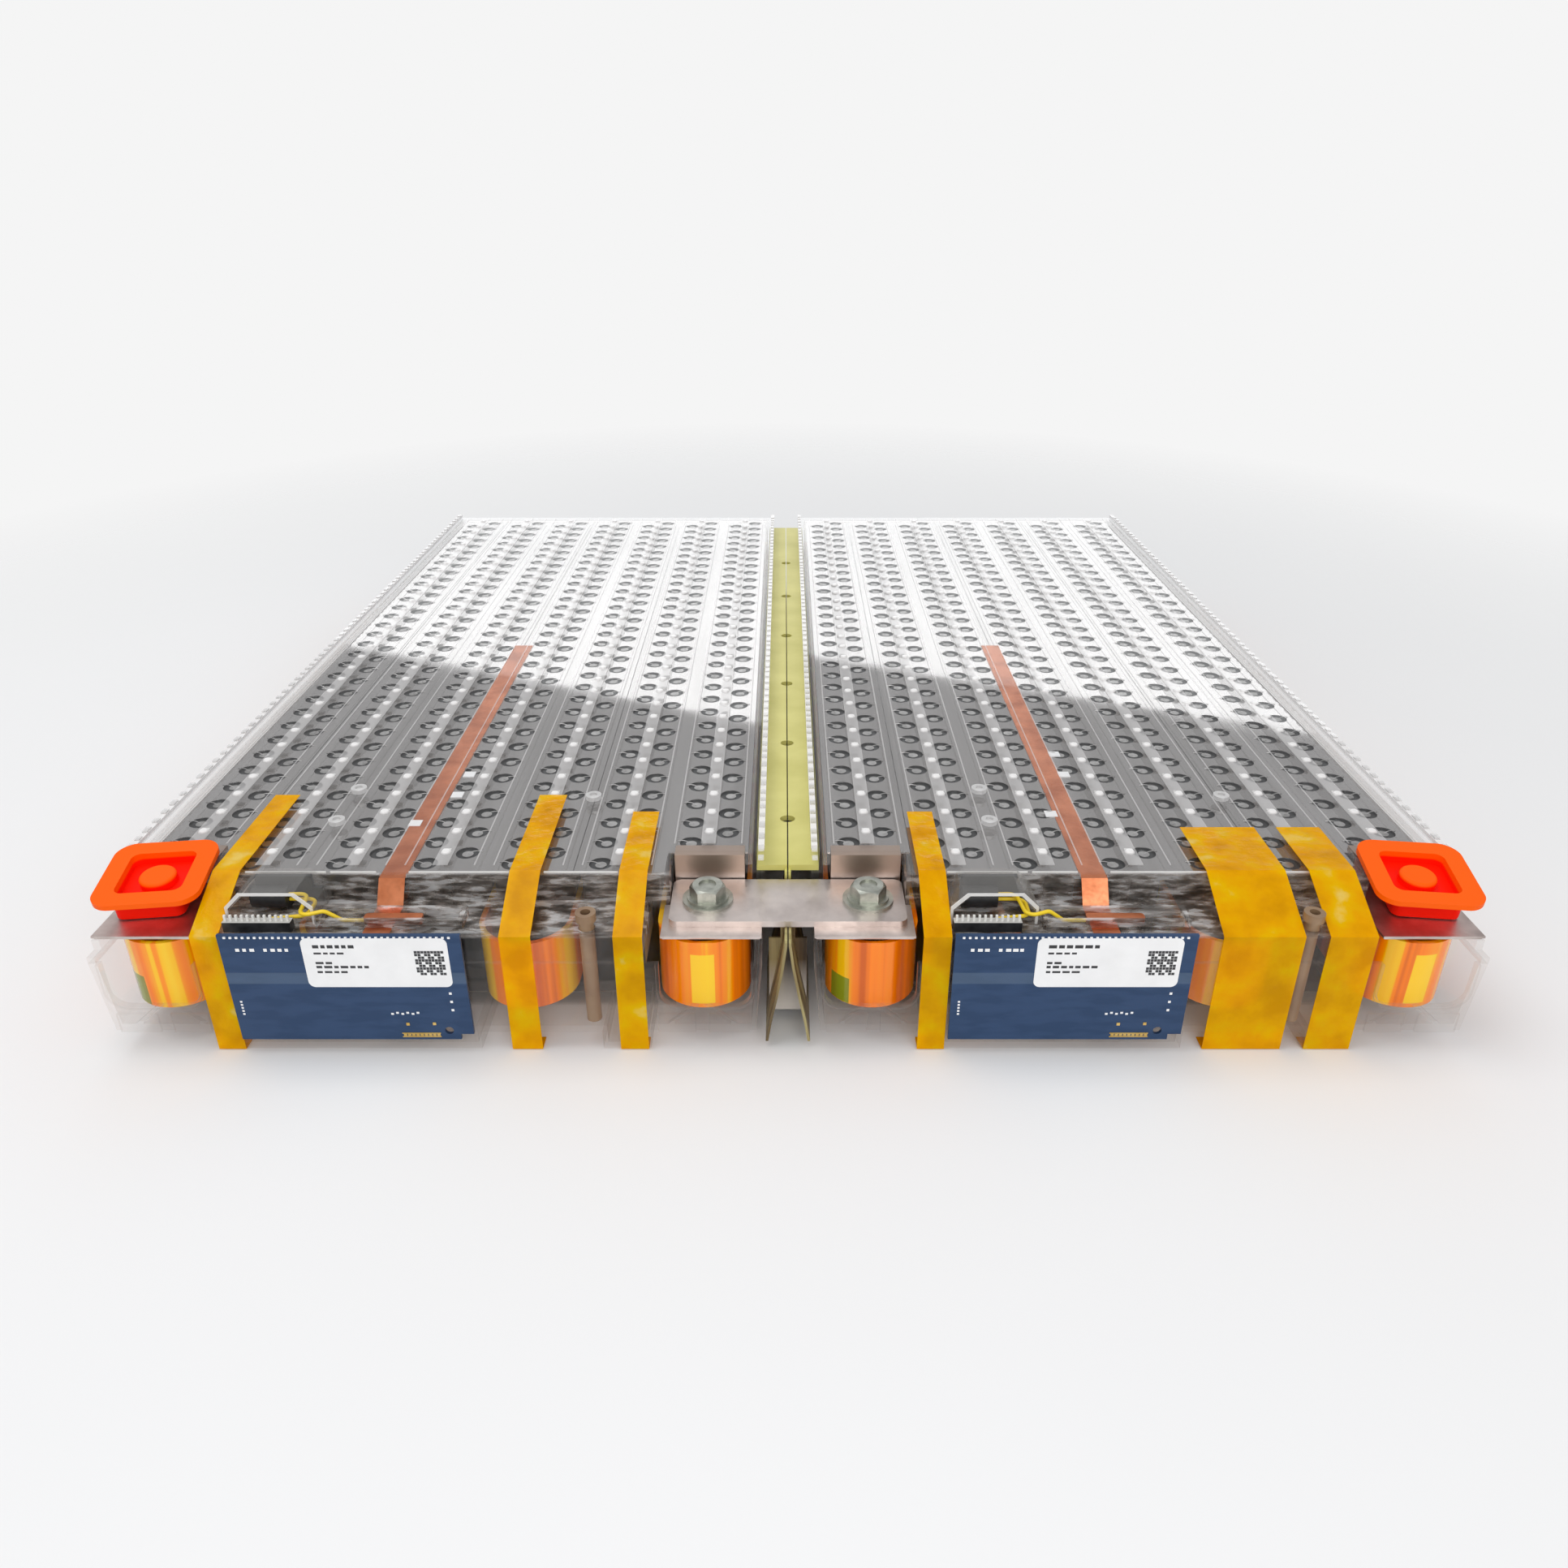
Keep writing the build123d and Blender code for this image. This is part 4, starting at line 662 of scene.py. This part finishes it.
def deck_details(side):
    """Small white tabs beside the copper strip, and the bumps moulded along the deck's two long lips."""
    centre = module_centre(side)
    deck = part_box(f"{side}_top_cover")
    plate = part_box(f"{side}_upper_collector_2")[1].z
    places = TAB_PLACES[side]

    def tabs(shape):
        for x, y in places:
            low = (centre + (x - 3) * MM, FRONT + (y - 2.5) * MM, plate)
            add_bar(shape, low, (low[0] + 6 * MM, low[1] + 6 * MM, plate + 0.6 * MM))

    def bumps(shape):
        for edge in (-1, 1):
            x0, x1 = sorted((centre + edge * 147.2 * MM, centre + edge * 149.8 * MM))
            y = deck[0].y + 6 * MM
            while y < deck[1].y - 8 * MM:
                length = random.uniform(3.0, 5.5) * MM
                add_bar(shape, (x0, y, deck[1].z), (x1, y + length, deck[1].z + 0.9 * MM))
                y += length + random.uniform(4.0, 6.5) * MM

    new_piece(f"{side}_white_tabs", mesh_from(f"{side}_white_tabs", tabs), PAPER)
    new_piece(f"{side}_lip_bumps", mesh_from(f"{side}_lip_bumps", bumps), CLEAR_CLIP)


def add_outline(shape, outer, inner, y0, y1):
    """A frame between two open outlines in the XZ plane, with some depth along Y."""
    rows = []
    for points, y in ((outer, y0), (inner, y0), (inner, y1), (outer, y1)):
        rows.append([shape.verts.new((x, y, z)) for x, z in points])
    for number, row in enumerate(rows):
        other = rows[(number + 1) % 4]
        for index in range(len(row) - 1):
            shape.faces.new((row[index], row[index + 1], other[index + 1], other[index]))
    for end in (0, -1):
        shape.faces.new([row[end] for row in rows])


def painted_highlight_edges(side):
    """White bars that paint the highlights on the hood's front rim and the deck's front edge, and white pads
    that paint the highlights on the deck's beads.
    """
    low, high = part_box(f"{side}_wire_hood")
    cut, thick = 7.0 * MM, 0.9 * MM

    def arch(inset):
        left, right, top = low.x + inset, high.x - inset, high.z - inset
        return (
            (left, low.z), (left, top - cut), (left + cut, top),
            (right - cut, top), (right, top - cut), (right, low.z),
        )

    centre = module_centre(side)
    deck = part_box(f"{side}_top_cover")
    front = FRONT + DECK_FRONT
    edge_low, edge_high = deck[1].z - 3.6 * MM, deck[1].z - 2.7 * MM

    # Painted highlights: a white frame on the hood's front rim and white bars along the deck's front edge.
    def rims(shape):
        add_outline(shape, arch(-0.2 * MM), arch(thick), low.y - 0.5 * MM, low.y + 0.3 * MM)
        for x0, x1 in ((-88, -51), (-49, -28), (-13, 33), (49, 83)):
            start = (centre + x0 * MM, front - 0.5 * MM, edge_low)
            add_bar(shape, start, (centre + x1 * MM, front, edge_high))

    # Painted highlights: white pads under the deck's beads.
    def pads(shape):
        for index in range(DOUBLE_ROWS):
            x = centre + (index - (DOUBLE_ROWS - 1) / 2) * DOUBLE_ROW_PITCH
            first = FRONT + DECK_FRONT + FIRST_CELL
            for step in range(1 if index in (0, DOUBLE_ROWS - 1) else 0, CELLS_PER_ROW):
                y = first + (step + 0.25) * CELL_PITCH
                z = deck[1].z - 2.3 * MM
                add_bar(shape, (x - 1.9 * MM, y - 2.2 * MM, z), (x + 1.9 * MM, y + 2.2 * MM, z + 0.35 * MM))

    new_piece(f"{side}_bright_rims", mesh_from(f"{side}_bright_rims", rims), PAINTED_HIGHLIGHT)
    new_piece(f"{side}_painted_bead_highlights", mesh_from(f"{side}_painted_bead_highlights", pads), PAINTED_HIGHLIGHT)


def gap_shade_sheet():
    """A sheet that stands in for the shade in the gap under the link: painted shadow in streaked brown at the
    top, pale below.
    """
    shader = Shader("gap_painted_shadow", (0.2, 0.14, 0.06), 0.3, specular_ior_level=0.3)
    streak = shader.noise(140, 4, (1, 1, 0.05))
    shades = ((0.35, (0.05, 0.03, 0.014)), (0.5, (0.16, 0.10, 0.04)), (0.66, (0.38, 0.31, 0.14)))
    # Painted shadow of the link: streaked dark browns at the top of the sheet.
    brown = shader.ramp(streak, shades)
    pale = shader.remap(shader.axis("Z"), 8 * MM, 34 * MM, 1, 0)
    shader.colour(shader.blend(pale, brown, (0.82, 0.76, 0.70)))
    shader.bump(streak, 0.4, 0.001)

    def sheet(shape):
        add_bar(shape, (-8.8 * MM, FRONT + 26 * MM, 5 * MM), (8.8 * MM, FRONT + 27 * MM, 46 * MM))
        add_bar(shape, (-3.4 * MM, FRONT + 26 * MM, 46 * MM), (3.4 * MM, FRONT + 27 * MM, 56 * MM))

    new_piece("gap_shade_sheet", mesh_from("gap_shade_sheet", sheet), shader.material)


def hood_shade_block(side):
    """A black block behind the wires under the hood, as painted shade inside the hood."""
    low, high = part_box(f"{side}_wire_hood")
    inset = 2.0 * MM

    # Painted shade: black panels that stand in for the dark inside of the hood.
    def shade_panel(shape):
        back = high.y - 1.6 * MM
        front = back - 2.2 * MM
        shoulder = high.z - 8.2 * MM
        add_bar(shape, (low.x + inset, front, low.z + 0.2 * MM), (high.x - inset, back, shoulder))
        add_bar(shape, (low.x + 6.5 * MM, front, shoulder), (high.x - 6.5 * MM, back, high.z - inset))

    new_piece(f"{side}_hood_painted_shade", mesh_from(f"{side}_hood_painted_shade", shade_panel), BLACK)


# ---- Stage, lights and camera ------------------------------------------------------------------
BACKDROP = 0.913


def make_floor():
    """A pale floor that fades into the backdrop away from the object."""
    def plane(shape):
        reach = 3.0
        corners = ((-reach, -reach), (reach, -reach), (reach, reach), (-reach, reach))
        shape.faces.new([shape.verts.new((x, y, -0.0002)) for x, y in corners])

    shader = Shader("floor_paint", (0.85, 0.85, 0.85), 0.9, specular_ior_level=0.0)
    blotch = shader.noise(3, 2)
    shader.colour(shader.ramp(blotch, ((0.3, (0.885, 0.885, 0.885)), (0.7, (0.895, 0.895, 0.895)))))
    distance = shader.add("ShaderNodeVectorMath", operation="LENGTH")
    flat = shader.add("ShaderNodeMapping")
    shader.set(flat, "Scale", (1.0, 0.85, 1.0))
    shader.link(shader.coords, flat.inputs["Vector"])
    shader.link(flat.outputs["Vector"], distance.inputs[0])
    clear = shader.add("ShaderNodeBsdfTransparent")
    mix = shader.add("ShaderNodeMixShader")
    shader.link(shader.remap(distance.outputs["Value"], 0.45, 1.1, 0, 1), mix.inputs["Fac"])
    shader.link(shader.surface.outputs[0], mix.inputs[1])
    shader.link(clear.outputs[0], mix.inputs[2])
    shader.link(mix.outputs[0], shader.output.inputs["Surface"])
    floor = bpy.data.objects.new("floor", mesh_from("floor", plane))
    bpy.context.scene.collection.objects.link(floor)
    floor.data.materials.append(shader.material)


def make_world():
    """Soft pale light all round, with a plain pale backdrop where the camera sees it."""
    world = bpy.data.worlds.new("studio")
    bpy.context.scene.world = world
    world.use_nodes = True
    nodes, links = world.node_tree.nodes, world.node_tree.links
    nodes.clear()
    path = nodes.new("ShaderNodeLightPath")
    either = nodes.new("ShaderNodeMath")
    either.operation = "MAXIMUM"
    links.new(path.outputs["Is Camera Ray"], either.inputs[0])
    links.new(path.outputs["Is Transmission Ray"], either.inputs[1])
    light = nodes.new("ShaderNodeBackground")
    light.inputs["Color"].default_value = (0.97, 0.98, 1.0, 1)
    light.inputs["Strength"].default_value = 0.60
    seen = nodes.new("ShaderNodeBackground")
    seen.inputs["Color"].default_value = (BACKDROP, BACKDROP, BACKDROP, 1)
    mix = nodes.new("ShaderNodeMixShader")
    output = nodes.new("ShaderNodeOutputWorld")
    links.new(either.outputs[0], mix.inputs["Fac"])
    links.new(light.outputs[0], mix.inputs[1])
    links.new(seen.outputs[0], mix.inputs[2])
    links.new(mix.outputs[0], output.inputs["Surface"])


def make_softbox(name, near_left, near_right, far_right, far_left):
    """A glowing panel overhead, placed so that the deck mirrors it to the camera between four deck points."""
    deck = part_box("left_top_cover")[1].z - 2.3 * MM
    eye = Vector((CAMERA_OFFSET, FRONT - 0.001 - CAMERA_DISTANCE, 2 * deck - CAMERA_HEIGHT))
    corners = []
    for x, y in (near_left, near_right, far_right, far_left):
        ray = Vector((x, FRONT + y, deck)) - eye
        corners.append(eye + ray * ((PANEL_HEIGHT - eye.z) / ray.z))

    def panel(shape):
        shape.faces.new([shape.verts.new(corner) for corner in corners])

    box = bpy.data.objects.new(name, mesh_from(name, panel))
    bpy.context.scene.collection.objects.link(box)
    glow = bpy.data.materials.new(name)
    glow.use_nodes = True
    nodes, links = glow.node_tree.nodes, glow.node_tree.links
    nodes.clear()
    emission = nodes.new("ShaderNodeEmission")
    emission.inputs["Color"].default_value = (0.97, 0.985, 1.0, 1)
    place = nodes.new("ShaderNodeTexCoord")
    split = nodes.new("ShaderNodeSeparateXYZ")
    fade = nodes.new("ShaderNodeMapRange")
    reach = [corner.y for corner in corners]
    fade.inputs["From Min"].default_value = min(reach)
    fade.inputs["From Max"].default_value = max(reach) * 0.8
    fade.inputs["To Min"].default_value = PANEL_STRENGTH
    fade.inputs["To Max"].default_value = PANEL_STRENGTH * PANEL_FADE
    links.new(place.outputs["Object"], split.inputs["Vector"])
    links.new(split.outputs["Y"], fade.inputs["Value"])
    links.new(fade.outputs["Result"], emission.inputs["Strength"])
    output = nodes.new("ShaderNodeOutputMaterial")
    links.new(emission.outputs[0], output.inputs["Surface"])
    box.data.materials.append(glow)


def make_lamp(name, place, target, size, power):
    """A soft rectangular lamp."""
    data = bpy.data.lights.new(name, "AREA")
    data.shape = "RECTANGLE"
    data.size, data.size_y = size
    data.energy = power
    lamp = bpy.data.objects.new(name, data)
    bpy.context.scene.collection.objects.link(lamp)
    lamp.location = place
    lamp.rotation_euler = (Vector(target) - Vector(place)).to_track_quat("-Z", "Y").to_euler()


def make_camera():
    """The camera in front of the terminal end, looking down along the decks."""
    data = bpy.data.cameras.new("camera")
    data.sensor_width = 36.0
    data.lens = 36.0 * FOCAL_SHARE
    data.clip_start = 0.01
    camera = bpy.data.objects.new("camera", data)
    bpy.context.scene.collection.objects.link(camera)
    camera.location = (CAMERA_OFFSET, FRONT - 0.001 - CAMERA_DISTANCE, CAMERA_HEIGHT)
    camera.rotation_euler = (math.pi / 2 - CAMERA_PITCH, 0, 0)
    bpy.context.scene.camera = camera


dress_nodes()
for side in SIDES:
    cell_tops(side)
    board_details(side)
    deck_details(side)
    hood_shade_block(side)
    painted_highlight_edges(side)
gap_shade_sheet()
make_floor()
make_world()
make_lamp("key", (-0.5, -0.2, 1.6), (0, 0, 0), (1.0, 1.0), 9)
make_lamp("front", (0.3, -1.8, 0.9), (0, -0.3, 0), (1.4, 0.7), 10)
make_softbox("left_softbox", (-0.330, 0.348), (-0.005, 0.199), (-0.005, 0.80), (-0.330, 0.80))
make_softbox("right_softbox", (0.005, 0.319), (0.330, 0.178), (0.330, 0.80), (0.005, 0.80))
make_camera()
bpy.context.scene.view_settings.view_transform = "Standard"
bpy.context.scene.cycles.transparent_max_bounces = 24
